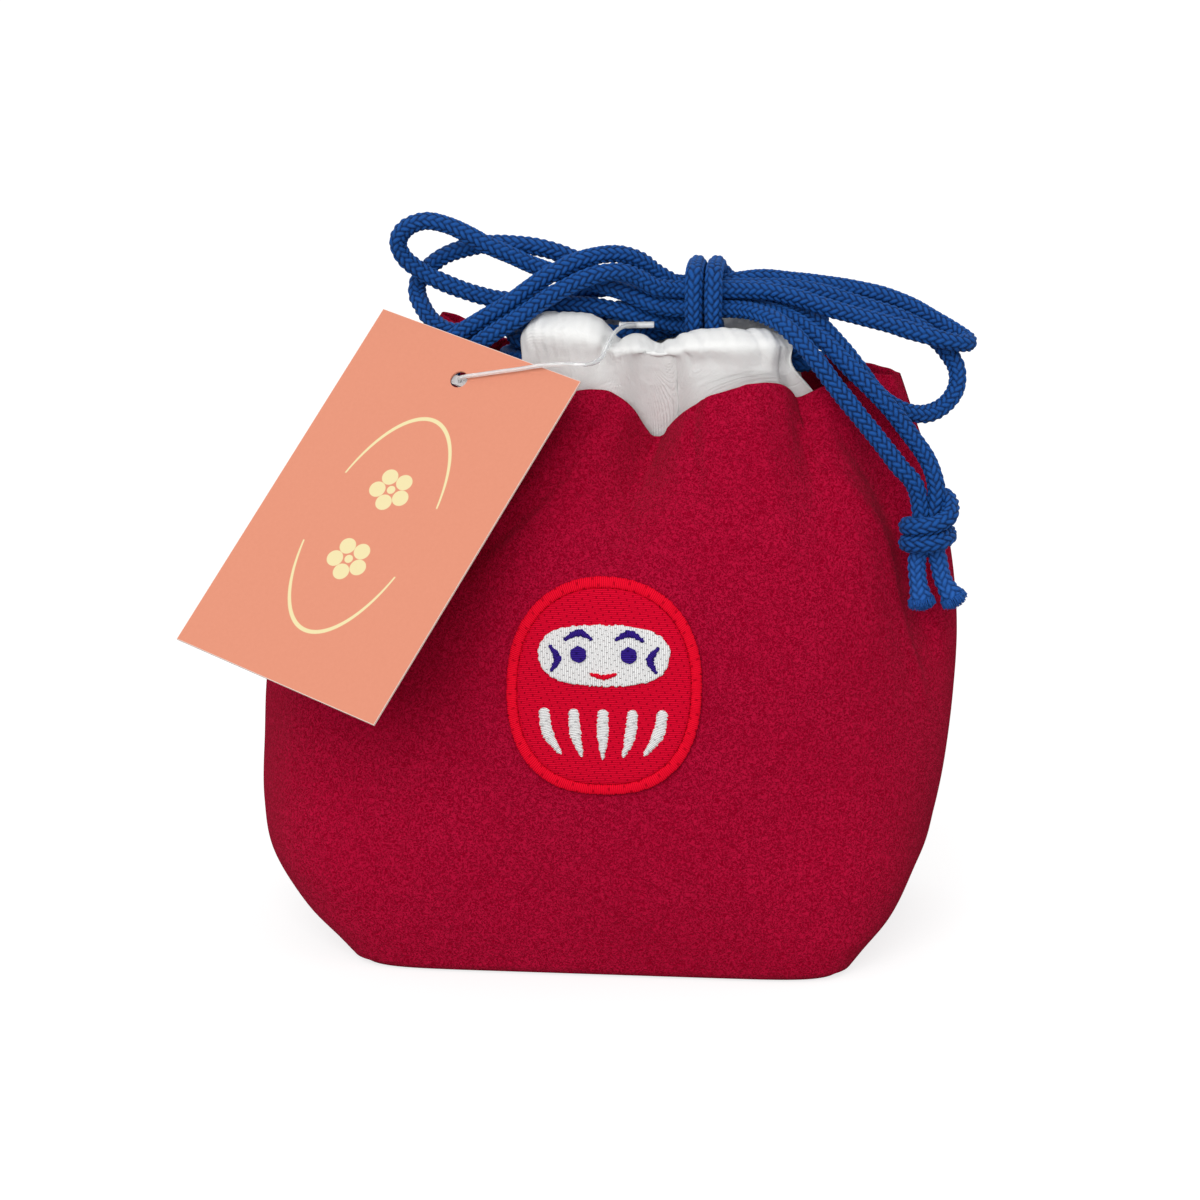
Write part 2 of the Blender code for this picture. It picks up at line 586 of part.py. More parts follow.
def make_field(name, outline, base, thick, rings, mat, collection, inner=None):
    """A flat filled shape, or a ring where inner is given, laid on the front of the bag."""
    count = len(outline)
    outline = np.array(outline)
    centre = outline.mean(axis=0)
    loops = []
    for share in rings:
        hub = np.array(inner) if inner is not None else np.tile(centre, (count, 1))
        loops.append(hub + (outline - hub) * share)
    points = [on_patch(u, v, base) for loop in loops for u, v in loop]
    faces = wrapped_faces(len(loops), count)
    if inner is None:
        points.append(on_patch(*centre, base))
        hub = len(points) - 1
        faces += [(hub, c, (c + 1) % count) for c in range(count)]
    faces = [face[::-1] for face in faces]
    obj = make_object(name, mesh_from(name, points, faces), mat, collection)
    solidify(obj, thick, 1.0)
    work = bmesh.new()
    work.from_mesh(obj.data)
    bmesh.ops.recalc_face_normals(work, faces=work.faces)
    work.faces.ensure_lookup_table()
    if work.faces[0].normal.y > 0:
        bmesh.ops.reverse_faces(work, faces=work.faces)
    work.to_mesh(obj.data)
    work.free()
    return obj


def stroke_outline(path, widths):
    """The outline of a tapered stroke along a path in the patch's plane."""
    route = smooth_route([(*p, 0.0) for p in path], 3)[:, :2]
    share = np.linspace(0, 1, len(route))
    half = np.interp(share, np.linspace(0, 1, len(widths)), widths) / 2
    along = np.gradient(route, axis=0)
    side = np.stack([-along[:, 1], along[:, 0]], axis=-1)
    side /= np.linalg.norm(side, axis=1, keepdims=True)
    return route, side * half[:, None]


def make_stroke(name, path, widths, base, mat, collection):
    """A tapered satin-stitch stroke: a strip on the patch, thickened outwards."""
    route, half = stroke_outline(path, widths)
    left, right = route + half, route - half
    points = [on_patch(u, v, base) for row in (left, route, right) for u, v in row]
    faces = strip_faces(3, len(route))
    obj = make_object(name, mesh_from(name, points, faces), mat, collection)
    work = bmesh.new()
    work.from_mesh(obj.data)
    work.faces.ensure_lookup_table()
    if work.faces[0].normal.y > 0:
        bmesh.ops.reverse_faces(work, faces=work.faces)
    work.to_mesh(obj.data)
    work.free()
    solidify(obj, STITCH_RISE, 1.0)
    return obj


def ellipse(cx, cy, rx, ry, count, power=2.0):
    """Points of a rounded shape about a centre, anticlockwise."""
    points = []
    for i in range(count):
        a = 2 * math.pi * i / count
        c, s = math.cos(a), math.sin(a)
        radius = (abs(c / rx)**power + abs(s / ry)**power)**(-1 / power)
        points.append((cx + radius * c, cy + radius * s))
    return points


def make_patch(collection):
    """The embroidered patch: ground, satin rim, face field and raised stitches."""
    red = material("patch_red", PATCH_RED, 0.55)
    rim_red = material("rim_red", RIM_RED, 0.5)
    white = material("thread_white", THREAD_WHITE, 0.55)
    navy = material("thread_navy", THREAD_NAVY, 0.55)
    angles = [2 * math.pi * i / 32 for i in range(32)]
    seat = LAYER_GAP
    outer = [patch_outline(a) for a in angles]
    inner = [patch_outline(a, -RIM_WIDTH) for a in angles]
    field = [patch_outline(a, -RIM_WIDTH - LAYER_GAP) for a in angles]
    make_field("patch_rim", outer, seat, PATCH_THICK + 0.4, (0.0, 0.5, 1.0), rim_red, collection,
               inner=inner)
    make_field("patch_ground", field, seat, PATCH_THICK, (0.5, 1.0), red, collection)
    wide, tall = PATCH_W / MOTIF_W, PATCH_H / MOTIF_H

    def on_motif(points):
        return [(x * wide, y * tall) for x, y in points]

    raised = seat + PATCH_THICK + LAYER_GAP
    make_field("face_field", on_motif(ellipse(0, 7.2, 14.6, 6.7, 28, 2.6)), raised, STITCH_RISE,
               (0.5, 1.0), white, collection)
    top = raised + STITCH_RISE + LAYER_GAP
    for side, name in ((-1, "left"), (1, "right")):
        make_field(f"eye_{name}", on_motif(ellipse(5.6 * side, 7.4, 1.8, 1.8, 14)), top,
                   STITCH_RISE, (0.5, 1.0), navy, collection)
        brow = on_motif([(2.4 * side, 10.6), (5.6 * side, 12.1), (9.0 * side, 10.4)])
        make_stroke(f"brow_{name}", brow, (0.7, 1.7, 0.7), top, navy, collection)
        cheek = on_motif([(12.2 * side, 9.3), (10.3 * side, 6.3), (11.8 * side, 3.4)])
        make_stroke(f"cheek_{name}", cheek, (0.7, 1.8, 0.7), top, navy, collection)
    mouth = on_motif([(-3.1, 3.3), (0.0, 2.5), (3.1, 3.3)])
    make_stroke("mouth", mouth, (0.6, 1.3, 0.6), top, rim_red, collection)
    for i in range(5):
        lean = i - 2
        path = [(6.7 * lean, -4.6), (6.1 * lean, -10.5), (4.6 * lean, -16.0 + 0.5 * abs(lean))]
        make_stroke(f"body_stroke_{i + 1}", on_motif(path), (2.3, 2.7, 0.8), raised, white,
                    collection)


def tag_axes():
    """The tag's right, up and outward directions."""
    out = Vector((math.sin(TAG_YAW) * math.cos(TAG_TILT), -math.cos(TAG_YAW) * math.cos(TAG_TILT),
                  math.sin(TAG_TILT)))
    level = Vector((0, 0, 1)).cross(out).normalized()
    steep = out.cross(level)
    right = level * math.cos(TAG_ROLL) - steep * math.sin(TAG_ROLL)
    up = out.cross(right)
    return right, up, out


def tag_point(across, above_hole, lift):
    """A point given from the tag's hole: millimetres right, up and off its face."""
    right, up, out = tag_axes()
    hole = Vector(TAG_CENTRE) + up * (TAG_H / 2 - HOLE_FROM_TOP)
    return hole + right * across + up * above_hole + out * lift


def make_tag(collection):
    """The paper tag on its own axis: an empty at the hole, the card below it."""
    right, up, out = tag_axes()
    frame = Matrix((right, up, out)).transposed().to_4x4()
    pivot = bpy.data.objects.new("tag_pivot", None)
    pivot.empty_display_size = 0.01
    pivot.matrix_world = Matrix.Translation(tag_point(0, 0, 0) * MM) @ frame
    collection.objects.link(pivot)
    outline = bpy.data.curves.new("hang_tag", "CURVE")
    outline.dimensions = "2D"
    outline.fill_mode = "BOTH"
    outline.extrude = TAG_THICK / 2 * MM
    low, high = HOLE_FROM_TOP - TAG_H, HOLE_FROM_TOP
    corners = [(-TAG_W / 2, low), (TAG_W / 2, low), (TAG_W / 2, high), (-TAG_W / 2, high)]
    hole = ellipse(0, 0, HOLE_R, HOLE_R, 20)
    for loop in (corners, hole):
        spline = outline.splines.new("POLY")
        spline.points.add(len(loop) - 1)
        spline.use_cyclic_u = True
        for point, (x, y) in zip(spline.points, loop):
            point.co = (x * MM, y * MM, 0, 1)
    card = bpy.data.objects.new("hang_tag", outline)
    outline.materials.append(material("tag_paper", TAG_SALMON, 0.75))
    card.parent = pivot
    collection.objects.link(card)


def make_pin(collection, cutters):
    """The moulded tag pin: paddle behind the tag, filament over its face, bar in the mouth."""
    clear = material("pin_clear", PIN_CLEAR, 0.25)
    over = TAG_THICK / 2 + LAYER_GAP + PIN_D / 2
    behind = TAG_THICK / 2 + LAYER_GAP + PADDLE[2] / 2
    route = [tag_point(0, 0, -behind), tag_point(0, 0, 0), tag_point(0.7, 0.3, over),
             tag_point(4.5, 2.4, over + 0.2), tag_point(8.7, 4.7, over + 0.3),
             tag_point(13, 7, over + 0.4), tag_point(17.5, 9.6, over + 0.5),
             tag_point(22, 11.6, over + 0.5), tag_point(26.5, 13.4, over)]
    route = [tuple(p) for p in route]
    route += [(-0.8, -27.5, 139.8), (0.2, -24.0, 141.0), (1.0, -20.8, 143.0),
              (2.0, -17.2, 144.6), (3.4, -13.6, 145.3), (4.9, -10.6, 145.2), BAR_CENTRE]
    filament = make_tube("filament", smooth_route(route, 2), PIN_D, clear, cutters, 1)
    pin = mesh_of(filament, collection, "tag_pin", clear)
    right, up, out = tag_axes()
    frame = Matrix((right, up, out)).transposed().to_4x4()
    bpy.ops.mesh.primitive_cube_add(size=1)
    paddle = bpy.context.object
    paddle.name = "paddle"
    paddle.matrix_world = (Matrix.Translation(tag_point(0, 0, -behind) * MM) @ frame
                           @ Matrix.Diagonal((PADDLE[0] * MM, PADDLE[1] * MM, PADDLE[2] * MM, 1)))
    bpy.ops.mesh.primitive_cylinder_add(vertices=10, radius=0.75 * MM, depth=BAR_LENGTH * MM)
    bar = bpy.context.object
    bar.name = "bar"
    bar.matrix_world = Matrix.Translation(Vector(BAR_CENTRE) * MM) @ Matrix.Rotation(
        math.radians(88), 4, "Y")
    for piece in (paddle, bar):
        for home in list(piece.users_collection):
            home.objects.unlink(piece)
        cutters.objects.link(piece)
        piece.hide_render = True
        piece.display_type = "WIRE"
        boolean(pin, piece, "UNION")


def main():
    clear_scene()
    parts = new_collection("drawstring_pouch")
    cutters = new_collection("cutters")
    crepe = material("crepe", CREPE_RED, 0.85)
    lining = material("lining", LINING_GREY, 0.8)
    white = material("band_cloth", BAND_WHITE, 0.85)
    blue = material("cord_blue", CORD_BLUE, 0.6)
    tips_blue = material("cord_ends", CORD_BLUE, 0.75)

    grid = bag_grid()
    normals = make_bag("outer_bag", grid, CREPE_WALL, crepe, parts)
    make_bag("lining_bag", lining_grid(grid, normals), LINING_WALL, lining, parts)

    open_left, open_right = math.pi + RING_OPEN, 2 * math.pi - RING_OPEN
    make_band("channel_front", BAND_START, BAND_END, (open_left, open_right), FRONT_PUFFS,
              grid, normals, white, parts)
    make_band("channel_back", 1 - BAND_END, 1 - BAND_START, (RING_OPEN, math.pi - RING_OPEN),
              BACK_PUFFS, grid, normals, white, parts)

    make_tube("cord_left_in_channel", ring_route(-1), CORD_D, blue, parts)
    make_tube("cord_right_in_channel", ring_route(1), CORD_D, blue, parts)
    for name, points, side, end in (("cord_left_a", LEFT_A, -1, 0), ("cord_left_b", LEFT_B, -1, -1),
                                    ("cord_right_a", RIGHT_A, 1, -1), ("cord_right_b", RIGHT_B, 1, 0)):
        make_tube(name, smooth_route(free_route(points, side, end), 1), CORD_D, blue, parts)
    for name, centre in (("end_knot_left", LEFT_KNOT), ("end_knot_right", RIGHT_KNOT)):
        make_end_knot(name, centre, blue, parts)
    make_tips("cord_tip_right",
              [((71.1, -22.5, 94.7), (71.4, -22.8, 90), (72.6, -23.2, 84)),
               ((75.8, -21.5, 94.7), (77, -21.5, 90), (80.2, -21.5, 84.6))],
              tips_blue, parts)
    make_tips("cord_tip_left",
              [((-49.9, -31.5, 99.5), (-50.2, -32.5, 96), (-52, -35, 90)),
               ((-45.2, -31.8, 99.4), (-45, -33, 96), (-43.8, -36.5, 90))],
              tips_blue, parts)
    make_patch(parts)
    make_tag(parts)
    make_pin(parts, cutters)


main()
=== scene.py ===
"""The dressed drawstring pouch: crepe bag, lining, puffed white channel bands, two braided cords
tied in a bow, an embroidered patch, a card tag and its moulded pin.

Shapes are worked out in millimetres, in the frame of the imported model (+Z up, front towards -Y),
and turned into metres where a mesh is made. Places round the bag run from 0 at the right seam
over 0.25 at the back and 0.5 at the left seam to 0.75 at the front.
"""

import math

import bmesh
import bpy
import numpy as np
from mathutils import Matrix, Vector


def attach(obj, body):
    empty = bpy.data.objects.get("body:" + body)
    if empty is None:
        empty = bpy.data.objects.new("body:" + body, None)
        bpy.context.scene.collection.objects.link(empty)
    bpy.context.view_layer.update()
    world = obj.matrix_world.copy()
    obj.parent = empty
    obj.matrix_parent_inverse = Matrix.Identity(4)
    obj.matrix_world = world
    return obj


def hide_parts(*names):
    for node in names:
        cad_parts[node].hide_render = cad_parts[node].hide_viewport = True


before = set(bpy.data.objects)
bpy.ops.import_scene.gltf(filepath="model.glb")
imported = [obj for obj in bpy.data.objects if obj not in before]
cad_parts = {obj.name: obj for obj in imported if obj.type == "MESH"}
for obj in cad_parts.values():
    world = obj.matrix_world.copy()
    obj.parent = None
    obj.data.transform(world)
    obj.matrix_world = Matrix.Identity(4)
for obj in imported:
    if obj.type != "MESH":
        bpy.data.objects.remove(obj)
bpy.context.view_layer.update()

MM = 0.001
BODY = "pouch"

# The filled bag
STATIONS = np.array([
    (0.0, -56.5, 57.5, 43.0, 9.0),
    (5.0, -62.5, 62.0, 44.0, 7.0),
    (11.0, -71.0, 68.0, 45.0, 5.0),
    (21.0, -79.0, 73.5, 46.0, 3.8),
    (32.0, -82.0, 76.2, 46.2, 3.0),
    (45.0, -82.8, 78.6, 45.6, 2.5),
    (58.0, -82.6, 80.2, 44.5, 2.3),
    (72.0, -80.0, 80.7, 42.6, 2.2),
    (89.0, -73.2, 79.2, 39.0, 2.1),
    (101.0, -66.5, 77.2, 35.5, 2.0),
    (110.0, -60.5, 75.0, 32.0, 1.9),
    (120.0, -53.5, 72.0, 27.5, 1.75),
    (128.0, -47.0, 69.0, 24.2, 1.7),
    (135.0, -41.0, 66.5, 21.2, 1.62),
])
RIM_HEIGHT = 135.0
FOLDS_START = 84.0
FOLLOW_RIM_FROM = 90.0
CREPE_WALL = 1.0
LINING_INSET = 1.9
LINING_TOP = 121.0
# place round the bag, half width, depth of the fold, drop of the edge
GATHERS = [
    (0.745, 0.026, 9.0, 13.0),
    (0.884, 0.013, 4.0, 3.6),
    (0.635, 0.018, 2.0, 4.5),
    (0.130, 0.020, 4.5, 6.0),
    (0.250, 0.024, 8.0, 9.0),
    (0.370, 0.020, 4.5, 6.5),
]
# how much lower the front edge hangs, in millimetres at these places
FRONT_EDGE = [
    (0.560, 0.0), (0.620, 3.0), (0.660, 4.0), (0.700, 3.0), (0.724, 2.3), (0.738, 3.1),
    (0.745, 2.0), (0.752, 1.1), (0.762, 2.0), (0.772, 3.4), (0.790, 4.4), (0.810, 3.4),
    (0.830, 2.0), (0.848, 1.6), (0.868, 1.7), (0.884, 2.4), (0.905, 2.7), (0.930, 2.6),
    (0.965, 0.0),
]
HOLLOWS = [0.052, 0.448, 0.552, 0.948]
HOLLOW_WIDTH = 0.024
HOLLOW_DEPTH = 4.5
EAR_RISE_LEFT = 9.5
EAR_BACK_LEFT = 6.0

# The channel bands and the cords inside them
RING_CENTRE = (11.5, 0.0)
RING_HALF = (36.0, 14.0)
RING_Z = 138.2
RING_OPEN = math.radians(38.0)
CORD_APART = 2.2
TUNNEL = 2.55
LAYER_GAP = 0.3
BAND_WALL = 0.5
BAND_PLACES = {"front": (0.5992, 0.893), "back": (0.120, 0.4008)}
# puffs: place, half width, bulge, top height
FRONT_PUFFS = [(0.646, 0.050, 2.7, 147.6), (0.7255, 0.0135, 1.9, 143.4), (0.819, 0.057, 2.6, 144.6)]
BACK_PUFFS = [(0.180, 0.034, 2.2, 143.6), (0.250, 0.032, 2.4, 145.2), (0.328, 0.038, 2.6, 145.7)]
# small pleats in the band cloth: place, half width, height, lean of the fold per row
FRONT_PLEATS = [
    (0.629, 0.0060, -0.35, 0.004), (0.672, 0.0070, -0.3, 0.010), (0.696, 0.0042, -1.5, 0.015),
    (0.711, 0.0050, 0.4, 0.006), (0.749, 0.0100, -0.4, 0.002), (0.7590, 0.0050, 0.5, -0.004),
    (0.772, 0.0050, -0.5, -0.012), (0.796, 0.0065, -0.55, -0.024), (0.826, 0.0070, 0.3, -0.016),
    (0.848, 0.0055, -0.55, -0.010), (0.864, 0.0050, 0.4, 0.004),
]
BACK_PLEATS = [
    (0.140, 0.0050, -0.5, 0.004), (0.160, 0.0070, 0.4, 0.006), (0.192, 0.0055, -0.6, 0.008),
    (0.215, 0.0045, -1.4, 0.006), (0.240, 0.0060, 0.4, 0.006), (0.262, 0.0055, -0.6, -0.008),
    (0.286, 0.0045, -1.4, -0.006), (0.310, 0.0060, 0.4, 0.006), (0.350, 0.0055, -0.6, 0.006),
    (0.377, 0.0050, 0.4, -0.004),
]

# Braided cord
BRAID_STRANDS = 8
BRAID_LAY = 1.75
BRAID_CORE = 1.66
BRAID_RISE = 0.5
TIP_FLARE = 0.4
TIP_FIBRES = 420

# Embroidered patch
PATCH_W = 43.5
PATCH_H = 48.0
PATCH_CENTRE = (2.0, 68.6)
PATCH_PLACE = 0.7475
PATCH_THICK = 1.0
RIM_WIDTH = 2.2
RIM_THREADS = 330
RIM_COLUMNS = 6
STITCH_RISE = 0.5
THREAD = 0.42

# Hang tag
TAG_W = 55.0
TAG_H = 91.0
TAG_CENTRE = (-48.0, -44.5, 108.4)
TAG_ROLL = math.radians(16.0)
TAG_YAW = math.radians(-16.5)
TAG_TILT = math.radians(40.0)
OVAL_HALF = (13.4, 28.2)
OVAL_DROP = 3.8

# End knots
RIGHT_KNOT = (73.3, -22.0, 102.2)
LEFT_KNOT = (-47.6, -31.5, 107.5)
# The wound cord of an end knot, from inside its top over a bight and two wraps to inside its foot
KNOT_WRAPS = [
    (1.0, 1.5, 4.4), (1.6, 3.2, 5.8), (3.6, 3.0, 6.4), (4.9, 0.6, 5.3), (4.6, -2.6, 3.2),
    (2.0, -4.5, 1.8), (-1.4, -4.6, 1.0), (-4.0, -2.6, 0.5), (-4.4, 0.8, 0.1), (-2.4, 3.8, -0.4),
    (1.2, 4.3, -0.8), (3.9, 2.6, -1.3), (4.5, -0.7, -1.8), (2.8, -4.0, -2.3),
    (-0.5, -4.8, -2.8), (-3.4, -3.5, -3.2), (-4.5, -0.3, -3.6), (-3.2, 3.0, -3.9),
    (0.0, 4.1, -4.2), (2.4, 2.2, -4.0), (1.2, 0.4, -3.4),
]

# Light
SKY_LIGHT = 0.72
LAMP_LIGHT = 1.9
LAMP_TOWARDS = (0.12, 0.92, -0.5)
LAMP_SPREAD = math.radians(45.0)
FLOOR_COLOUR = 0.36
FLOOR_GLOW = 0.74
FLOOR_HALF = 6000.0
FLOOR_DROP = 0.2

# Camera: the photograph's viewpoint, and its field of view on a square frame
CAMERA_AT = (73.5, -794.9, 277.1)
CAMERA_TO = (-3.0, 0.0, 78.0)
LENS = 105.0
SENSOR = 36.0
SEES_TO = 20000.0

# Routes of the free cords, chosen along the bow
LEFT_A = [
    (-19.5, -6.1, 140.2), (-22, -3.8, 140.9), (-22.8, -0.6, 141.7), (-20.6, 2.1, 142.7),
    (-16.5, 4, 143.9), (-11, 4.5, 144.9), (-5, 4.5, 145.5), (1, 4.5, 146.3),
    (7, 4.4, 147.4), (13, 4.4, 148.2), (18, 4.4, 148.3), (25, 4.4, 148.3), (31, 4.4, 147.9),
    (37, 2, 147.8), (43, -1.5, 147.3), (46.5, -4.8, 146), (50, -8, 143.6), (53.5, -11, 140.3),
    (57, -13.2, 136.4), (60.5, -14.3, 132), (64, -14.4, 129), (68, -13, 126.8),
    (72.5, -10.6, 126), (76.5, -7.8, 127.6), (79, -5.2, 131), (79, -2.8, 135.2),
    (76.5, -1.2, 139), (73, 0, 142.2), (69, 0, 144.8), (63.5, 0, 147), (56.5, 0.5, 149),
    (50, 1, 151), (43.5, 1, 152.3), (36, 0.4, 152.8), (29, 0, 152.7), (24, 0, 152.7),
    (19, 0, 152.7), (14.5, -0.2, 153.4), (10, -2.2, 156.2), (6.5, -4.8, 159.2), (2, -7.5, 161),
    (-5, -10.5, 160.5), (-12, -12.3, 157.5), (-18, -12.8, 153.7), (-22.5, -12.5, 150.2),
    (-28.5, -12, 146.5), (-34, -12, 143), (-39.5, -13, 138), (-43, -16, 132),
    (-46, -20.5, 126.5), (-48.4, -25.5, 121.5), (-49.6, -29.2, 118.5), (-49.9, -30.6, 115.9),
]
LEFT_B = [
    (-19.5, 6.2, 140.3), (-22.4, 6.2, 141.6), (-23.5, 6.8, 144), (-21.8, 7.6, 146.5),
    (-17, 8.2, 148.5), (-10, 8, 149.8), (-4, 7, 150.6), (2, 5.8, 151.6),
    (8, 4.8, 152.5), (14, 4.4, 152.7), (19, 4.4, 152.7), (25, 4.6, 152.9), (33.5, 6, 154),
    (42.5, 8, 153), (50.5, 9, 152), (57, 9, 151), (63.5, 8, 149.5), (69.5, 6.5, 147.3),
    (75, 4.5, 144.5), (79.3, 1.8, 142.4), (81.4, -1.2, 141.3), (80.8, -4.2, 141.2),
    (77.5, -6.8, 142), (73, -8, 143.3), (68.5, -8, 144.5), (63.5, -8, 146), (57, -8, 147.6),
    (50, -8, 149.4), (43.5, -7, 151.3), (36.5, -5.5, 152.6), (30, -4.4, 152.7),
    (24, -4.4, 152.7), (18, -4.4, 152.7), (14, -4.8, 152.7), (10, -7, 153.6),
    (6.5, -9.2, 156), (2.5, -11.8, 157.6), (-3, -13.6, 157), (-9.5, -14.4, 154.2),
    (-16, -15, 150.2), (-20.5, -15.2, 147), (-26.5, -14.9, 143.2), (-31, -14.6, 139.7),
    (-35, -15.4, 135.6), (-38.5, -17.6, 130), (-41.5, -21.5, 124.8), (-43.8, -26.5, 120.5),
    (-45, -30, 118.4), (-45.4, -31.6, 115.9),
]
RIGHT_A = [
    (43.5, -8.1, 140.2), (45.7, -5.3, 140.9), (46, -1.8, 141.8), (43.9, 1.3, 142.9),
    (40.5, 3.9, 144.4), (37.3, 6.6, 146.1), (34, 8.3, 148), (30.8, 9.3, 149.7),
    (28, 9.5, 151.5), (25.5, 9.2, 153.8), (23.7, 7.8, 156.1), (23.7, 4.4, 157.2),
    (23.7, 0, 157.4), (23.7, -4.4, 157.2), (23.7, -7.8, 156), (23.7, -9, 152.7),
    (23.7, -9, 148.3), (23.7, -7.8, 145), (23.7, -4.4, 143.8), (23.7, -0.5, 143.6),
    (23.2, 2.8, 143.4), (20.8, 5, 143.1), (17, 5.5, 142.6), (13.5, 4.6, 142.1),
    (10, 2.8, 141.5), (6.5, 0.7, 141.2), (3, -1.5, 141.4), (-2.5, -3.3, 142.4),
    (-7, -3.8, 143.3), (-12, -4, 144), (-17, -5.2, 144.8), (-23, -6.3, 145),
    (-28, -6.4, 144.2), (-34, -6.2, 142.4), (-38, -5.4, 142.6), (-41.5, -3.8, 144.4),
    (-43.9, -2, 147.2), (-45.5, 0.2, 150.2), (-45, 0.8, 153.5), (-42.5, 0.3, 156.3),
    (-39, -1, 159), (-34, -2, 161), (-28, -3, 162.2), (-21.5, -3.5, 162.3), (-14.5, -2.5, 161),
    (-8, -1, 158.3), (-3, 0, 155), (1.5, 0.5, 152.3), (6, 0.4, 150.2), (10, 0, 149),
    (14.5, 0, 148.3), (19, 0, 148.3), (25, 0, 148.3), (31, -0.8, 148.3), (36.5, -4, 147.8),
    (42.5, -9.2, 146.5), (47.5, -13.6, 144), (51.5, -16.3, 141), (55, -18.2, 137.8),
    (58.5, -19.4, 134.6), (62, -20, 131.3), (65, -20, 128), (67.5, -19.8, 124.8),
    (70, -19.8, 121.5), (72.3, -20, 118.3), (74, -20.8, 115), (75.1, -21.4, 110.3),
]
RIGHT_B = [
    (43.5, 8.1, 140.2), (46.4, 7.6, 141.5), (47.4, 8.2, 144), (45.9, 9.6, 146.4),
    (42.6, 11.2, 147.9), (38.5, 12.6, 148.6), (33, 13.7, 148.9), (28, 14, 149.4),
    (24.5, 13.9, 150.4), (21.5, 13, 151.8), (19.5, 11.2, 153.8), (19.2, 8.4, 156),
    (19.2, 4.4, 157.3), (19.2, 0, 157.4), (19.2, -4.4, 157.2), (19.2, -7.8, 156),
    (19.2, -9, 152.7), (19.2, -9, 148.3), (19.2, -7.8, 145), (19.2, -4.4, 143.8),
    (18.6, -1.8, 143.7), (16.5, -0.5, 143.7), (13, -0.8, 144), (8, -3.2, 145.5),
    (3, -5.2, 147.2), (-2.5, -6, 148.5), (-8, -6, 149), (-14.5, -5.8, 149.2),
    (-21, -5.4, 149.5), (-27, -5.2, 150), (-33, -5.2, 151.5), (-39.5, -5.5, 154),
    (-44, -6, 156.5), (-47.5, -7, 159.7), (-48.5, -8, 163.3), (-46.5, -9, 166.5),
    (-41.8, -10, 168.3), (-36.5, -10, 167.3), (-31.5, -10, 165), (-27.5, -9.6, 162.8),
    (-23, -8.6, 160.7), (-18.5, -7.5, 158.5), (-13, -6.8, 156.5), (-7, -6.4, 154.8),
    (-1, -6, 153.3), (5, -5.8, 151.3), (9.5, -5.2, 149.3), (14, -4.4, 148.3),
    (19, -4.4, 148.3), (25, -4.4, 148.3), (30, -6, 148.4), (34.5, -10, 148.2),
    (39, -14.3, 147), (42.8, -17.3, 144.4), (46, -19.2, 141.2), (49, -20.6, 137.8),
    (52, -21.6, 134), (55, -22.4, 130.5), (58, -23.1, 127), (61, -23.6, 123.5),
    (64, -23.8, 119.8), (67, -23.7, 116), (69.4, -23.2, 113.4), (70.8, -22.7, 110.5),
]
# The cut ends, out of the foot of each end knot
TIPS = {
    "cord_tip_right_a": [(71.1, -22.5, 94.7), (71.4, -22.8, 90), (72.6, -23.2, 84)],
    "cord_tip_right_b": [(75.8, -21.5, 94.7), (77, -21.5, 90), (80.2, -21.5, 84.6)],
    "cord_tip_left_a": [(-49.9, -31.5, 99.5), (-50.2, -32.5, 96), (-52, -35, 90)],
    "cord_tip_left_b": [(-45.2, -31.8, 99.4), (-45, -33, 96), (-43.8, -36.5, 90)],
}


# ---- Shader maths ----

class Value:
    """A socket's value in one finish; each operator on it adds a Math node."""

    def __init__(self, finish, socket):
        self.finish, self.socket = finish, socket

    def math(self, operation, *others, clamp=False):
        return self.finish.node("Math", {"operation": operation, "use_clamp": clamp}, self, *others)

    def __add__(self, other):
        return self.math("ADD", other)

    def __sub__(self, other):
        return self.math("SUBTRACT", other)

    def __rsub__(self, other):
        return self.finish.node("Math", {"operation": "SUBTRACT"}, other, self)

    def __mul__(self, other):
        return self.math("MULTIPLY", other)

    def __truediv__(self, other):
        return self.math("DIVIDE", other)

    def __pow__(self, other):
        return self.math("POWER", other)

    def __gt__(self, other):
        return self.math("GREATER_THAN", other)

    __radd__, __rmul__ = __add__, __mul__

    def size(self):
        return self.math("ABSOLUTE")

    def whole(self):
        return self.math("FLOOR")

    def part(self):
        return self.math("FRACT")

    def wave(self):
        """The sine of the value taken in half turns."""
        return (self * math.pi).math("SINE")

    def between(self, low, high):
        """0 below low, 1 above high, and a smooth step between."""
        return self.finish.node("MapRange", {"interpolation_type": "SMOOTHSTEP"}, self, low, high)


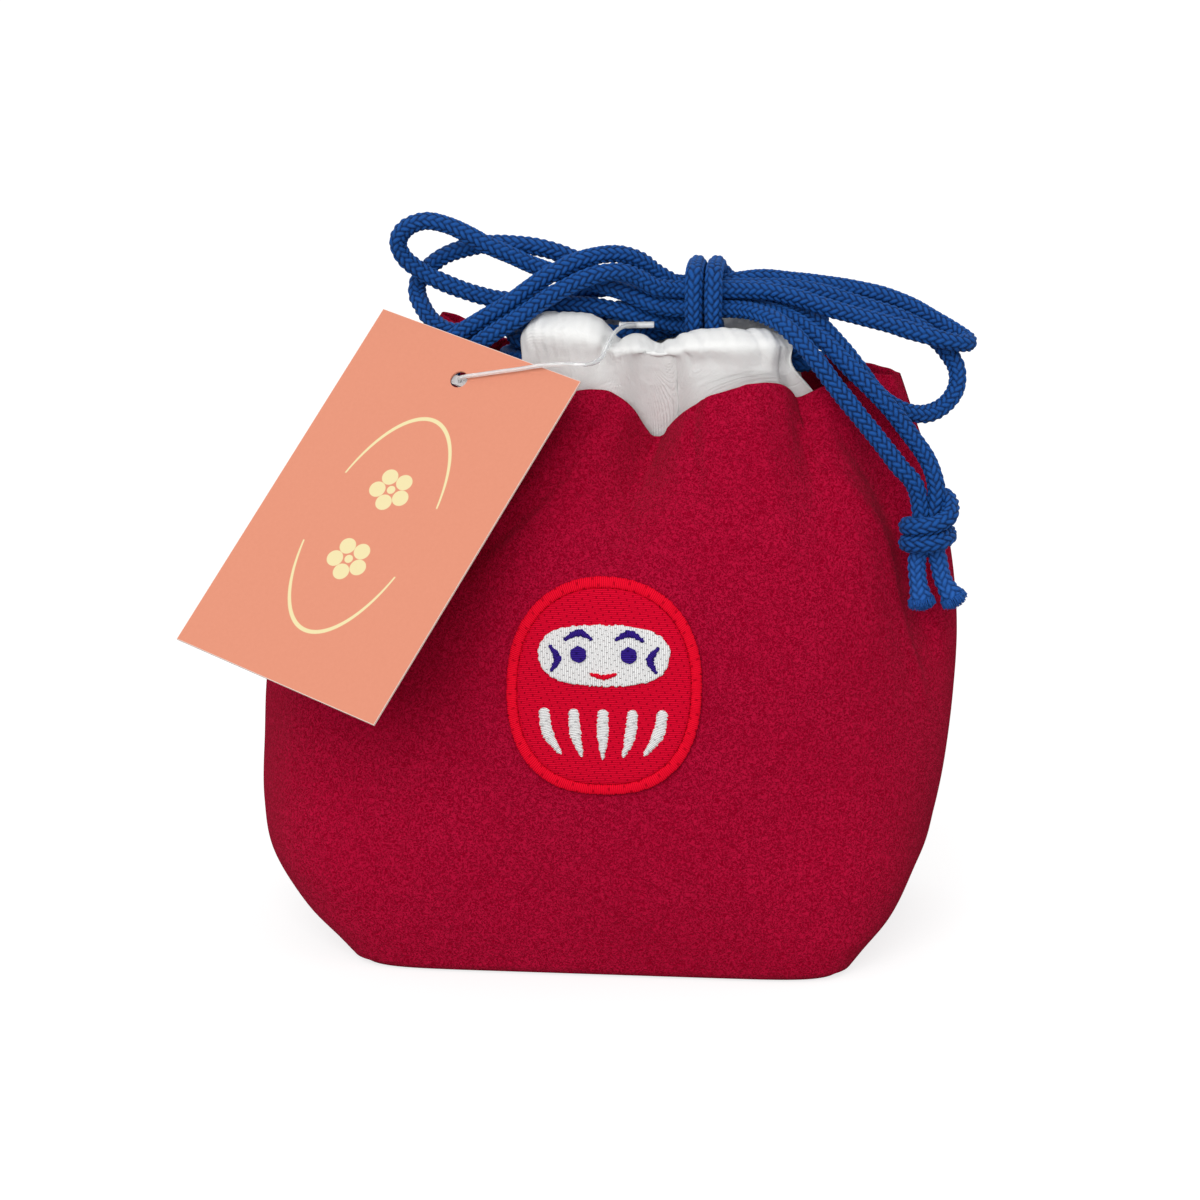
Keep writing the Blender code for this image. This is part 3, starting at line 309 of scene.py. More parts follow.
class Finish:
    """A Principled material: plain numbers go on the shader's sockets, patterns come as nodes."""

    def __init__(self, name, colour, roughness, **numbers):
        self.material = bpy.data.materials.new(name)
        self.material.use_nodes = True
        self.tree = self.material.node_tree
        self.shader = self.tree.nodes["Principled BSDF"]
        self.feed(self.shader.inputs["Base Color"], (*colour, 1.0))
        self.feed(self.shader.inputs["Roughness"], roughness)
        for key, number in numbers.items():
            name = key.replace("_", " ").title().replace("Ior", "IOR")
            self.shader.inputs[name].default_value = number

    def feed(self, socket, value):
        if isinstance(value, Value):
            self.tree.links.new(value.socket, socket)
        else:
            socket.default_value = value

    def node(self, kind, settings, *values, out=0, **named):
        """Add a node: its settings, then its inputs in order or by name."""
        made = self.tree.nodes.new("ShaderNode" + kind)
        for key, setting in settings.items():
            setattr(made, key, setting)
        for key, value in [*enumerate(values), *named.items()]:
            self.feed(made.inputs[key], value)
        return Value(self, made.outputs[out])

    def pattern_map(self, name):
        """The piece's own map, in millimetres: the vector, then its right and up values."""
        both = self.node("UVMap", {"uv_map": name})
        return both, self.node("SeparateXYZ", {}, both), self.node("SeparateXYZ", {}, both, out=1)

    def object_place(self):
        """The place on the object in millimetres."""
        place = self.node("TexCoord", {}, out="Object")
        return self.node("VectorMath", {"operation": "SCALE"}, place, Scale=1 / MM)

    def noise(self, place, scale, detail=2.0, rough=0.5, distortion=0.0):
        return self.node("TexNoise", {}, Vector=place, Scale=scale, Detail=detail,
                         Roughness=rough, Distortion=distortion)

    def swirl(self, place, scale, reach):
        """A vector of smooth noise about zero, up to reach millimetres long."""
        cloud = self.node("TexNoise", {}, Vector=place, Scale=scale, Detail=1.0, out=1)
        centred = self.node("VectorMath", {"operation": "SUBTRACT"}, cloud, (0.5, 0.5, 0.5))
        return self.node("VectorMath", {"operation": "SCALE"}, centred, Scale=reach * 2)

    def mixed(self, share, first, second):
        """A colour between two others."""
        made = self.tree.nodes.new("ShaderNodeMix")
        made.data_type = "RGBA"
        for index, value in ((0, share), (6, first), (7, second)):
            if not isinstance(value, Value) and index > 0:
                value = (*value, 1.0)
            self.feed(made.inputs[index], value)
        return Value(self, made.outputs[2])

    def mark(self, name):
        """A number stored at each vertex."""
        return self.node("Attribute", {"attribute_name": name}, out="Fac")

    def colour(self, value):
        self.feed(self.shader.inputs["Base Color"], value)

    def roughness(self, value):
        self.feed(self.shader.inputs["Roughness"], value)

    def relief(self, height, depth):
        """A bump of this depth in millimetres."""
        bump = self.node("Bump", {}, Strength=1.0, Distance=depth * MM, Height=height)
        self.feed(self.shader.inputs["Normal"], bump)


# ---- Shapes on grids ----

def smooth(x):
    """0 below 0, 1 above 1, and t^2 (3 - 2t) between."""
    t = np.clip(x, 0.0, 1.0)
    return t * t * (3 - 2 * t)


def hump(place, centre, half_width):
    """exp of minus the square of the distance round the bag over the half width."""
    off = np.mod(place - centre + 0.5, 1.0) - 0.5
    return np.exp(-(off / half_width)**2)


def superellipse(c, s, half_wide, half_high, power):
    """The radius of |x/a|^n + |y/b|^n = 1 in the direction with cosine c and sine s."""
    return (np.abs(c / half_wide)**power + np.abs(s / half_high)**power)**(-1 / power)


def unit(vectors):
    """Each vector at length 1; one of no length, as at the middle of the base, stays zero."""
    return vectors / np.maximum(np.linalg.norm(vectors, axis=-1, keepdims=True), 1e-12)


def grid_normals(points, around):
    """Across the columns times up the rows, by differences of neighbours."""
    if around:
        along = np.roll(points, -1, axis=1) - np.roll(points, 1, axis=1)
    else:
        along = np.gradient(points, axis=1)
    return unit(np.cross(along, np.gradient(points, axis=0)))


def grid_corners(rows, columns, around):
    """Corner rows and columns of the quads of a grid; around counts one column past the last."""
    r, c = np.meshgrid(np.arange(rows - 1), np.arange(columns if around else columns - 1),
                       indexing="ij")
    row = np.stack([r, r, r + 1, r + 1], axis=-1).reshape(-1, 4)
    column = np.stack([c, c + 1, c + 1, c], axis=-1).reshape(-1, 4)
    return row, column


def make_grid_mesh(name, points, around=False, cloth=None, marks=None, weld=True):
    """A mesh of one grid of points in millimetres.

    cloth holds the map in millimetres, with one column more than points where the grid goes
    around; marks holds numbers stored at the vertices.
    """
    rows, columns = points.shape[:2]
    row, column = grid_corners(rows, columns, around)
    mesh = bpy.data.meshes.new(name)
    mesh.from_pydata((points.reshape(-1, 3) * MM).tolist(), [],
                     (row * columns + column % columns).tolist())
    if cloth is not None:
        layer = mesh.uv_layers.new(name="cloth")
        layer.data.foreach_set("uv", cloth[row, column].ravel().astype(np.float32))
    for key, values in (marks or {}).items():
        mesh.attributes.new(key, "FLOAT", "POINT").data.foreach_set(
            "value", values.ravel().astype(np.float32))
    if weld:
        work = bmesh.new()
        work.from_mesh(mesh)
        bmesh.ops.remove_doubles(work, verts=work.verts, dist=1e-7)
        work.to_mesh(mesh)
        work.free()
    mesh.shade_smooth()
    return mesh


def join_meshes(name, meshes):
    """One mesh out of several, kept as separate shells."""
    work = bmesh.new()
    for mesh in meshes:
        work.from_mesh(mesh)
    joined = bpy.data.meshes.new(name)
    work.to_mesh(joined)
    work.free()
    joined.shade_smooth()
    return joined


def add_piece(mesh, finish, slot, *nodes):
    """Put a mesh in the scene with its finish, and hide the nodes it stands for; slot is not used.
    """
    piece = bpy.data.objects.new(mesh.name, mesh)
    bpy.context.scene.collection.objects.link(piece)
    mesh.materials.clear()
    mesh.materials.append(finish.material)
    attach(piece, BODY)
    if nodes:
        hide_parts(*nodes)
    return piece


def thicken(piece, thickness):
    """Give a single face this thickness, half on each side."""
    layer = piece.modifiers.new("wall", "SOLIDIFY")
    layer.thickness = thickness * MM
    layer.offset = 0.0


def even_map(points, around):
    """Lengths along the rows and up the columns, in millimetres, as a map of the cloth."""
    closed = np.concatenate([points, points[:, :1]], axis=1) if around else points
    across = np.linalg.norm(np.diff(closed, axis=1), axis=-1)
    up = np.linalg.norm(np.diff(closed, axis=0), axis=-1)
    u = np.concatenate([np.zeros((len(points), 1)), np.cumsum(across, axis=1)], axis=1)
    v = np.concatenate([np.zeros((1, closed.shape[1])), np.cumsum(up, axis=0)], axis=0)
    return np.stack([u, v], axis=-1)


# ---- The bag ----

def station_values(levels):
    """Left x, right x, half depth and squareness at each level, by cubic curves."""
    z, values = STATIONS[:, 0], STATIONS[:, 1:]
    slopes = np.gradient(values, z, axis=0)
    i = np.clip(np.searchsorted(z, levels) - 1, 0, len(z) - 2)
    span = (z[i + 1] - z[i])[:, None]
    t = np.clip((levels - z[i])[:, None] / span, 0.0, 1.0)
    h00, h10 = 2 * t**3 - 3 * t**2 + 1, t**3 - 2 * t**2 + t
    return (h00 * values[i] + h10 * span * slopes[i] + (1 - h00) * values[i + 1]
            + (t**3 - t**2) * span * slopes[i + 1])


def outlines(levels, places):
    """The superellipse of each level, its points at equal shares of its length."""
    left, right, depth, power = station_values(levels).T[:, :, None]
    phi = np.linspace(0, 2 * np.pi, 1441)[None, :]
    radius = superellipse(np.cos(phi), np.sin(phi), (right - left) / 2, depth, power)
    x, y = radius * np.cos(phi), radius * np.sin(phi)
    steps = np.hypot(np.diff(x, axis=1), np.diff(y, axis=1))
    length = np.concatenate([np.zeros((len(levels), 1)), np.cumsum(steps, axis=1)], axis=1)
    flat = [[np.interp(places * line[-1], line, values) for values in (xs, ys)]
            for line, xs, ys in zip(length, x, y)]
    flat = np.moveaxis(np.array(flat), 1, 2)
    flat[..., 0] += (left + right) / 2
    return flat


def rim_heights(places):
    """Height of the crepe's top edge: it drops at each gather and rises at the left seam."""
    height = RIM_HEIGHT + EAR_RISE_LEFT * hump(places, 0.5, 0.07) - 2.0 * hump(places, 0.0, 0.05)
    for place, half_width, _, drop in GATHERS:
        height = height - drop * hump(places, place, half_width)
    at, lower = np.array(FRONT_EDGE).T
    return height - np.interp(np.mod(places, 1.0), at, lower, 0.0, 0.0)


def wall(levels, count, scales=None):
    """The crepe's outer face: outlines pulled in by gathers and hollows, one row per level.

    Each gather pulls its depth in along a hump that narrows towards the rim, and the rows
    above FOLLOW_RIM_FROM follow the rim's rise and drop.
    """
    places = np.arange(count) / count
    level = np.asarray(levels, dtype=float)
    flat = outlines(level, places)
    along = np.roll(flat, -1, axis=1) - np.roll(flat, 1, axis=1)
    inward = unit(np.stack([-along[..., 1], along[..., 0]], axis=-1))
    level, place = level[:, None], places[None, :]
    gather = smooth((level - FOLDS_START) / (RIM_HEIGHT - FOLDS_START))**1.3
    pull = sum(depth * gather * hump(place, at, half * (1.9 - 0.9 * gather))
               for at, half, depth, _ in GATHERS)
    hollow = smooth((level - 40) / 45) * (1 - 0.55 * smooth((level - 108) / 27))
    pull = pull + sum(HOLLOW_DEPTH * hollow * hump(place, at, HOLLOW_WIDTH) for at in HOLLOWS)
    flat = flat + inward * pull[..., None]
    if scales is not None:
        flat = flat * np.asarray(scales)[:, None, None]
    flat[..., 1] += EAR_BACK_LEFT * hump(place, 0.5, 0.05) * smooth((level - 96) / 38)
    share = np.maximum(0.0, (level - FOLLOW_RIM_FROM) / (RIM_HEIGHT - FOLLOW_RIM_FROM))
    rise = share * (rim_heights(place) - RIM_HEIGHT)
    return np.concatenate([flat, (level + rise)[..., None]], axis=-1)


def sag(level, place):
    """Soft undulation of the hanging cloth, in millimetres outwards: slow waves round the bag
    and short gathers just below the bands, quiet behind the patch."""
    turn = 2 * np.pi * place
    body = smooth(level / 22) * (1 - 0.6 * smooth((level - 118) / 17))
    slow = (0.55 * np.sin(5 * turn + level / 21) + 0.4 * np.sin(8 * turn - level / 15 + 1.3)
            + 0.3 * np.sin(13 * turn + level / 12 + 0.4))
    short = 0.12 * np.sin(2 * np.pi * 53 * place + 0.8) * smooth((level - 116) / 18)
    quiet = 1 - 0.85 * np.exp(-((place - PATCH_PLACE) / 0.07)**4
                              - ((level - PATCH_CENTRE[1]) / 32)**4)
    return (body * slow * 0.8 + short) * quiet


# Folds and drag lines in the crepe: height and half width in millimetres, then (level, place)
CREASES = [
    (1.1, 2.0, [(131, 0.8780), (124.4, 0.8875), (117.7, 0.8975), (111, 0.9080), (103, 0.9230),
                (98.5, 0.9275), (88, 0.9300), (77, 0.9360), (66, 0.9450), (55, 0.9540)]),
    (-1.2, 3.0, [(132, 0.9020), (124, 0.9120), (115.8, 0.9280), (110, 0.9370), (102, 0.9470),
                 (97.5, 0.9500), (86, 0.9530), (74, 0.9600), (64, 0.9680)]),
    (-1.4, 2.6, [(133, 0.7080), (124, 0.7000), (112, 0.6850), (100, 0.6660), (88, 0.6450)]),
    (-1.3, 2.4, [(133, 0.7800), (124, 0.7860), (112, 0.7960), (98, 0.8080)]),
    (0.9, 3.0, [(130, 0.8380), (118, 0.8480), (104, 0.8560), (90, 0.8600)]),
    (-1.1, 2.6, [(132, 0.6550), (120, 0.6480), (106, 0.6350), (92, 0.6200)]),
    (1.3, 3.0, [(128, 0.5750), (112, 0.5800), (94, 0.5760), (76, 0.5680)]),
    (-1.2, 2.6, [(128, 0.5600), (112, 0.5620), (96, 0.5540)]),
    (1.2, 2.6, [(130, 0.1050), (116, 0.0980), (100, 0.0880), (84, 0.0800)]),
    (-1.2, 2.6, [(130, 0.1600), (118, 0.1680), (104, 0.1800), (90, 0.1900)]),
    (-1.3, 2.6, [(132, 0.2250), (120, 0.2160), (106, 0.2040), (92, 0.1900)]),
    (-1.3, 2.6, [(132, 0.2780), (120, 0.2880), (106, 0.3000), (92, 0.3120)]),
    (1.1, 2.8, [(130, 0.3300), (116, 0.3340), (100, 0.3300), (86, 0.3220)]),
    (1.2, 2.6, [(130, 0.3980), (116, 0.4060), (100, 0.4160), (84, 0.4220)]),
]


def creases(level, place, girth):
    """Each crease is exp(-(distance/half width)^2) round its line, faded at the line's ends."""
    total = 0.0 * level * place
    for height, half, line in CREASES:
        at_level, at_place = np.array(line)[::-1].T
        centre = np.interp(level, at_level, at_place)
        off = (np.mod(place - centre + 0.5, 1.0) - 0.5) * girth
        fade = smooth((level - at_level[0]) / 14) * (1 - smooth((level - at_level[-1]) / 6) * 0.35)
        total = total + height * fade * np.exp(-(off / half)**2)
    return total


def folds(points, level, place):
    """Sag and creases together, for a grid of points with one row per level."""
    closed = np.concatenate([points, points[:, :1]], axis=1)
    girth = np.linalg.norm(np.diff(closed, axis=1), axis=-1).sum(axis=1)[:, None]
    return sag(level, place) + creases(level, place, girth)


BASE_SCALES = [0.0, 0.2, 0.4, 0.6, 0.8, 0.92, 0.965, 0.982, 0.993, 1.0]
BASE_LIFTS = [0.0, 0.0, 0.0, 0.0, 0.0, 0.0, 0.05, 0.3, 0.8, 1.4]
FLAT_ROWS = 8
COLUMNS = 400
ROWS = 140


def crepe_grid():
    """Rows from the middle of the base over the wall to the rim, where the cloth turns in."""
    levels = np.concatenate([np.zeros(len(BASE_SCALES) - 1),
                             np.linspace(BASE_LIFTS[-1], RIM_HEIGHT, ROWS)])
    scales = np.ones(len(levels))
    scales[:len(BASE_SCALES)] = BASE_SCALES
    outer = wall(levels, COLUMNS, scales)
    outer[:len(BASE_LIFTS), :, 2] = np.array(BASE_LIFTS)[:, None]
    place = np.arange(COLUMNS)[None, :] / COLUMNS
    normals = grid_normals(outer, True)
    normals[:FLAT_ROWS] = (0.0, 0.0, -1.0)
    outer = outer + normals * folds(outer, levels[:, None], place)[..., None]
    return outer, normals


def make_bag(finish):
    outer, normals = crepe_grid()
    rim, out = outer[-1], normals[-1]
    turns = np.radians([40, 80, 120, 160])
    lip = [rim - out * CREPE_WALL / 2 * (1 - math.cos(a)) + (0, 0, 0.45 * math.sin(a))
           for a in turns]
    inner = [outer[-1 - k] - normals[-1 - k] * CREPE_WALL for k in (1, 3, 6, 10, 16, 22)]
    points = np.concatenate([outer, np.array(lip), np.array(inner)])
    cloth = even_map(points, True)
    around = cloth[:, :-1, 0]
    girth = cloth[:, -1:, 0]
    half = cloth[:, COLUMNS // 2:COLUMNS // 2 + 1, 0]
    seam = np.minimum(np.minimum(around, girth - around), np.abs(around - half))
    mesh = make_grid_mesh("crepe_bag", points, True, cloth, {"seam": seam})
    piece = add_piece(mesh, finish, "crepe", "outer_bag")
    return outer


def make_lining(finish):
    """The lining hangs inside the crepe and is seen from the mouth, so it faces inwards."""
    columns, rows = 200, 60
    levels = np.concatenate([np.zeros(FLAT_ROWS), np.linspace(3.0, LINING_TOP, rows)])
    scales = np.concatenate([np.linspace(0.0, 0.975, FLAT_ROWS), np.ones(rows)])
    points = wall(levels, columns, scales)
    normals = grid_normals(points, True)
    normals[:FLAT_ROWS] = (0.0, 0.0, -1.0)
    place = np.arange(columns)[None, :] / columns
    wrinkle = 0.35 * (np.sin(2 * np.pi * 17 * place + levels[:, None] / 9)
                      + np.sin(2 * np.pi * 29 * place - levels[:, None] / 13))
    wrinkle = np.abs(wrinkle) * smooth(levels / 12)[:, None]
    dent = np.minimum(folds(points, levels[:, None], place), 0.0)
    points = points + normals * (dent - LINING_INSET - wrinkle)[..., None]
    mesh = make_grid_mesh("lining", points[::-1], True, even_map(points, True))
    piece = add_piece(mesh, finish, "lining", "lining_bag")


# ---- Channel bands ----

def ring_frame(angle):
    """Points of the ring the cords wind round, and the outward direction there."""
    c, s = np.cos(angle), np.sin(angle)
    point = np.stack([RING_CENTRE[0] + RING_HALF[0] * c, RING_CENTRE[1] + RING_HALF[1] * s], -1)
    return point, unit(np.stack([c / RING_HALF[0], s / RING_HALF[1]], axis=-1))


def spline_rows(rows, steps):
    """A curve through a list of rows: uniform Catmull-Rom, steps points in each span."""
    rows = np.concatenate([2 * rows[:1] - rows[1:2], rows, 2 * rows[-1:] - rows[-2:-1]])
    p0, p1, p2, p3 = rows[:-3], rows[1:-2], rows[2:-1], rows[3:]
    t = (np.arange(steps) / steps).reshape(-1, *([1] * (rows.ndim)))
    curve = 0.5 * (2 * p1 + (p2 - p0) * t + (2 * p0 - 5 * p1 + 4 * p2 - p3) * t**2
                   + (3 * p1 - p0 - 3 * p2 + p3) * t**3)
    curve = np.swapaxes(curve, 0, 1).reshape(-1, *rows.shape[1:])
    return np.concatenate([curve, rows[-2:-1]])


def make_band(side, puffs, pleats, finish):
    """A folded band: up out of the seam, over the cords in a puff, and down inside again.

    Its section is a curve through the legs, a stand beside the cords, a crown and the top;
    puffs raise and swell it, and pleats push it along its normals.
    """
    dense = 1000
    start, end = BAND_PLACES[side]
    columns = np.arange(round(start * dense), round(end * dense) + 1)
    place = columns / dense
    share = (place - place[0]) / (place[-1] - place[0])
    first, last = (math.pi + RING_OPEN, 2 * math.pi - RING_OPEN) if side == "front" else (
        RING_OPEN, math.pi - RING_OPEN)
    angle = first + (last - first) * share
    point, out = ring_frame(angle)

    # every other level carries a leg, and those between only serve the normals
    levels = np.array([120.0, 122.0, 126.0, 129.0, 133.0, 135.0])
    face = wall(levels, dense)
    normal = grid_normals(face, True)
    face, normal = face[:, columns], normal[:, columns]
    fold = sum(hump(place, at, 0.04) for at, _, depth, _ in GATHERS if depth > 5)
    inset = CREPE_WALL + 2 * LAYER_GAP + BAND_WALL / 2 + 1.6 * fold
    outer_leg = [face[i] - normal[i] * inset[:, None] for i in (1, 3, 5)]
    inner_leg = [face[i] - normal[i] * (inset + BAND_WALL + LAYER_GAP)[:, None] for i in (5, 3, 1)]

    lean = CORD_APART * np.abs(np.cos(angle))
    valley = RING_Z + TUNNEL + lean + 0.55
    shares = [np.exp(-np.abs((place - at) / half)**(6 if half > 0.02 else 2))
              for at, half, _, _ in puffs]
    bulge = sum(share * puff for share, (_, _, puff, _) in zip(shares, puffs))
    top = valley + sum(share * np.maximum(0.0, height - valley)
                       for share, (_, _, _, height) in zip(shares, puffs))
    wide = TUNNEL + CORD_APART * np.abs(np.sin(angle))
    low = RING_Z - TUNNEL - lean - 0.1
    crown = RING_Z + 0.62 * (top - RING_Z)

    def at(offset, height):
        return np.column_stack([point + out * offset[:, None], height])

    over_rim = outer_leg[-1] + (0, 0, 1.2)
    rim_out = ((over_rim[:, :2] - point) * out).sum(axis=1)
    stand = np.clip(rim_out, wide + 0.1, wide + 1.5)
    beside = at(stand + 0.4 * bulge, np.maximum(low + 3.0, over_rim[:, 2] + 1.4))
    beside[:, 0] += (over_rim[:, 0] - beside[:, 0]) * fold
    floor = inner_leg[0].copy()
    floor[:, 2] = np.minimum(floor[:, 2], low - 0.8)
    rows = np.array([
        *outer_leg, over_rim, beside, at(wide + 0.6 + bulge, crown),
        at(0.55 * wide + 0.5 * bulge, top - 0.3), at(0 * wide, top + 0.25),
        at(-0.55 * wide, top - 0.4),
        at(-wide - 0.3, crown), at(-wide - 0.3, RING_Z - 1.0 + 0 * wide), at(-wide + 0.1, low),
        floor, *inner_leg[1:]])
    steps = 6
    points = spline_rows(rows, steps)
    k = np.arange(len(points))[:, None] / steps
    shown = smooth((k - 3.4) / 1.2) * (1 - smooth((k - 8.5) / 1.5))
    pleat = sum(height * hump(place[None, :], at_place + slant * (k - 5.0) / 3.0, half)
                for at_place, half, height, slant in pleats)
    ripple = 0.06 * np.sin(2 * np.pi * 85 * place[None, :] + 1.7 * k)
    normals = grid_normals(points, False)
    points = points + normals * (shown * (0.75 * pleat + ripple * (1 - share * 0.3)))[..., None]
    mesh = make_grid_mesh(f"band_{side}", points, False, even_map(points, False), weld=False)
    piece = add_piece(mesh, finish, "band_cloth", f"channel_{side}")
    thicken(piece, BAND_WALL)


# ---- Cords ----

def spline_through(points, steps=20):
    """A centripetal Catmull-Rom curve through given points."""
    p = np.array(points, dtype=float)
    p = np.vstack([2 * p[0] - p[1], p, 2 * p[-1] - p[-2]])
    knots = np.concatenate([[0], np.cumsum(np.linalg.norm(np.diff(p, axis=0), axis=1)**0.5)])
    quads = np.stack([p[:-3], p[1:-2], p[2:-1], p[3:]])
    t = np.stack([knots[:-3], knots[1:-2], knots[2:-1], knots[3:]])[..., None]
    u = t[1] + (t[2] - t[1]) * (np.arange(steps) / steps)[:, None, None]
    a = [((t[j + 1] - u) * quads[j] + (u - t[j]) * quads[j + 1]) / (t[j + 1] - t[j])
         for j in range(3)]
    b = [((t[j + 2] - u) * a[j] + (u - t[j]) * a[j + 1]) / (t[j + 2] - t[j]) for j in range(2)]
    curve = ((t[2] - u) * b[0] + (u - t[1]) * b[1]) / (t[2] - t[1])
    return np.concatenate([np.swapaxes(curve, 0, 1).reshape(-1, 3), p[-2:-1]])


def evenly(points, step):
    """The same line with points every step millimetres."""
    length = np.concatenate([[0], np.cumsum(np.linalg.norm(np.diff(points, axis=0), axis=1))])
    at = np.linspace(0, length[-1], max(4, round(length[-1] / step)))
    return np.stack([np.interp(at, length, points[:, i]) for i in range(3)], axis=-1)


def ring_route(side):
    """A cord inside the channel: a ring open at its own side, -1 left and 1 right."""
    middle = math.pi if side < 0 else 0.0
    angle = np.linspace(middle + RING_OPEN, middle + 2 * math.pi - RING_OPEN, 26)
    point, out = ring_frame(angle)
    point = point + out * (side * CORD_APART * np.abs(np.sin(angle)))[:, None]
    return np.column_stack([point, RING_Z + side * CORD_APART * np.cos(angle)])


def carried_frames(path):
    """Two directions across a path at each point, carried along it without twist."""
    tangent = unit(np.gradient(path, axis=0))
    side = np.empty_like(path)
    start = np.array([0.0, 0.0, 1.0]) if abs(tangent[0, 2]) < 0.9 else np.array([1.0, 0.0, 0.0])
    side[0] = unit(np.cross(tangent[0], start))
    for i in range(1, len(path)):
        moved = side[i - 1] - tangent[i] * (side[i - 1] @ tangent[i])
        side[i] = moved / np.linalg.norm(moved)
    return side, np.cross(tangent, side)


def braid_height(turn, length):
    """Height of a two-over-two braid, 0 between its strands and 1 on top of them.

    Strands run both ways round the cord as lines of equal a and of equal b, and each float
    is a ridge: sin across the strand times sin along its two cells.
    """
    a = BRAID_STRANDS * turn + length / BRAID_LAY
    b = BRAID_STRANDS * turn - length / BRAID_LAY
    i, j = np.floor(a), np.floor(b)
    over = np.mod(i + j, 4) < 2
    across = np.where(over, a - i, b - j)
    float_at = np.where(over, np.mod(b + i, 4) / 2, (np.mod(a + j, 4) - 2) / 2)
    return np.abs(np.sin(np.pi * across))**0.75 * np.abs(np.sin(np.pi * float_at))**0.45


def braided_tube(name, path, step=0.29, sides=50, flare=0.0):
    """A closed braided tube along a path: radius = core + rise times the braid's height.

    A slow wave makes it a little uneven, and flare opens its last 5 mm by that share.
    """
    path = evenly(path, step)
    length = np.concatenate([[0], np.cumsum(np.linalg.norm(np.diff(path, axis=0), axis=1))])
    turn = np.arange(sides) / sides
    side, up = carried_frames(path)
    height = braid_height(turn[None, :], length[:, None])
    uneven = 0.035 * np.sin(length / 3.1 + 0.6) + 0.025 * np.sin(length / 1.37)
    swell = 1 + flare * smooth((length - length[-1] + 5.0) / 5.0)
    radius = (BRAID_CORE + uneven[:, None] + BRAID_RISE * height) * swell[:, None]
    close = np.ones(len(path))
    close[[0, 1, -2, -1]] = (0.0, 0.8, 0.8, 0.0)
    spread = (radius * close[:, None])[..., None]
    angle = 2 * np.pi * turn[None, :, None]
    points = path[:, None] + spread * (np.cos(angle) * side[:, None] + np.sin(angle) * up[:, None])
    columns = np.arange(sides + 1) / sides * 2 * np.pi * BRAID_CORE
    cloth = np.stack(np.broadcast_arrays(columns[None, :], length[:, None]), axis=-1)
    return make_grid_mesh(name, points, True, cloth, {"ridge": height})


def make_cord(name, route, side, end, knot, finish):
    """A free cord from its end of the ring in the channel into its end knot."""
    start = ring_route(side)[end]
    first = np.array(route[0], dtype=float)
    start = start + unit(first - start) * LAYER_GAP
    # the last point lies inside the knot, level with its middle
    inside = np.array(route[-1]) + (np.array(knot) - route[-1]) * (0.55, 0.55, 1.0)
    path = evenly(spline_through([tuple(start)] + route + [tuple(inside)]), 0.3)
    piece = add_piece(braided_tube(f"{name}_braid", path), finish, "cord_blue", name)


def make_end_knot(name, centre, mirror, finish):
    """A stopper knot: one cord is wound round both, over a bight at the top."""
    wraps = np.array(KNOT_WRAPS) * (mirror, 1.0, 1.0) + centre
    mesh = braided_tube(f"{name}_wound", spline_through(wraps))
    return add_piece(mesh, finish, "cord_blue", name)


def frayed_end(path, count, seed):
    """Loose fibres at a cut end: short tapered three-sided spikes, shorter towards the edge."""
    rng = np.random.default_rng(seed)
    along = unit(path[-1] - path[-8])
    side, up = carried_frames(path)
    side, up = side[-1], up[-1]
    turn, reach = rng.uniform(0, 2 * np.pi, count), np.sqrt(rng.uniform(0, 1, count))
    spoke = np.cos(turn)[:, None] * side + np.sin(turn)[:, None] * up
    root = path[-1] - along * 1.5 + spoke * (reach * 2.95)[:, None]
    length = (rng.uniform(2.0, 2.9, count) * (1.1 - 0.5 * reach**2))[:, None]
    flare = spoke * (rng.uniform(0.0, 0.25, count) * reach)[:, None]
    share = np.linspace(0, 1, 4)[:, None, None]
    line = root + length * share * along + flare * length * share**1.6
    angle = 2 * np.pi * np.arange(3) / 3
    across = np.cos(angle)[:, None] * side + np.sin(angle)[:, None] * up
    width = 0.26 * (1 - 0.6 * share[..., None])
    points = line[:, :, None] + width * across
    return [points[:, i] for i in range(count)]


def make_tip(name, route, knot, seed, finish):
    """A cut cord end: a short braid out of the knot that opens into loose fibres."""
    inside = np.array(route[0]) + unit(np.array(knot) - route[0]) * 4.0
    path = evenly(spline_through([tuple(inside)] + route), 0.3)[:-2]
    meshes = [braided_tube("body", path, flare=TIP_FLARE)]
    meshes += [make_grid_mesh("fibre", fibre, True, even_map(fibre, True), {
        "ridge": np.full(fibre.shape[:2], 1.0)}) for fibre in frayed_end(path, TIP_FIBRES, seed)]
    return add_piece(join_meshes(f"{name}_frayed", meshes), finish, "cord_ends", name)


# ---- Patch ----

FRONT_STEP = 0.5


def front_table(outer):
    """Depth y of the crepe's front on a table of x and z, from the rows of its wall."""
    x = np.arange(-30.0, 36.0, FRONT_STEP)
    z = np.arange(38.0, 100.0, FRONT_STEP)
    front = outer[12:, COLUMNS // 2 + 20:COLUMNS - 20]
    y = np.array([np.interp(x, row[:, 0], row[:, 1]) for row in front])
    height = np.array([np.interp(x, row[:, 0], row[:, 2]) for row in front])
    table = np.array([np.interp(z, height[:, i], y[:, i]) for i in range(len(x))]).T
    return x, z, table


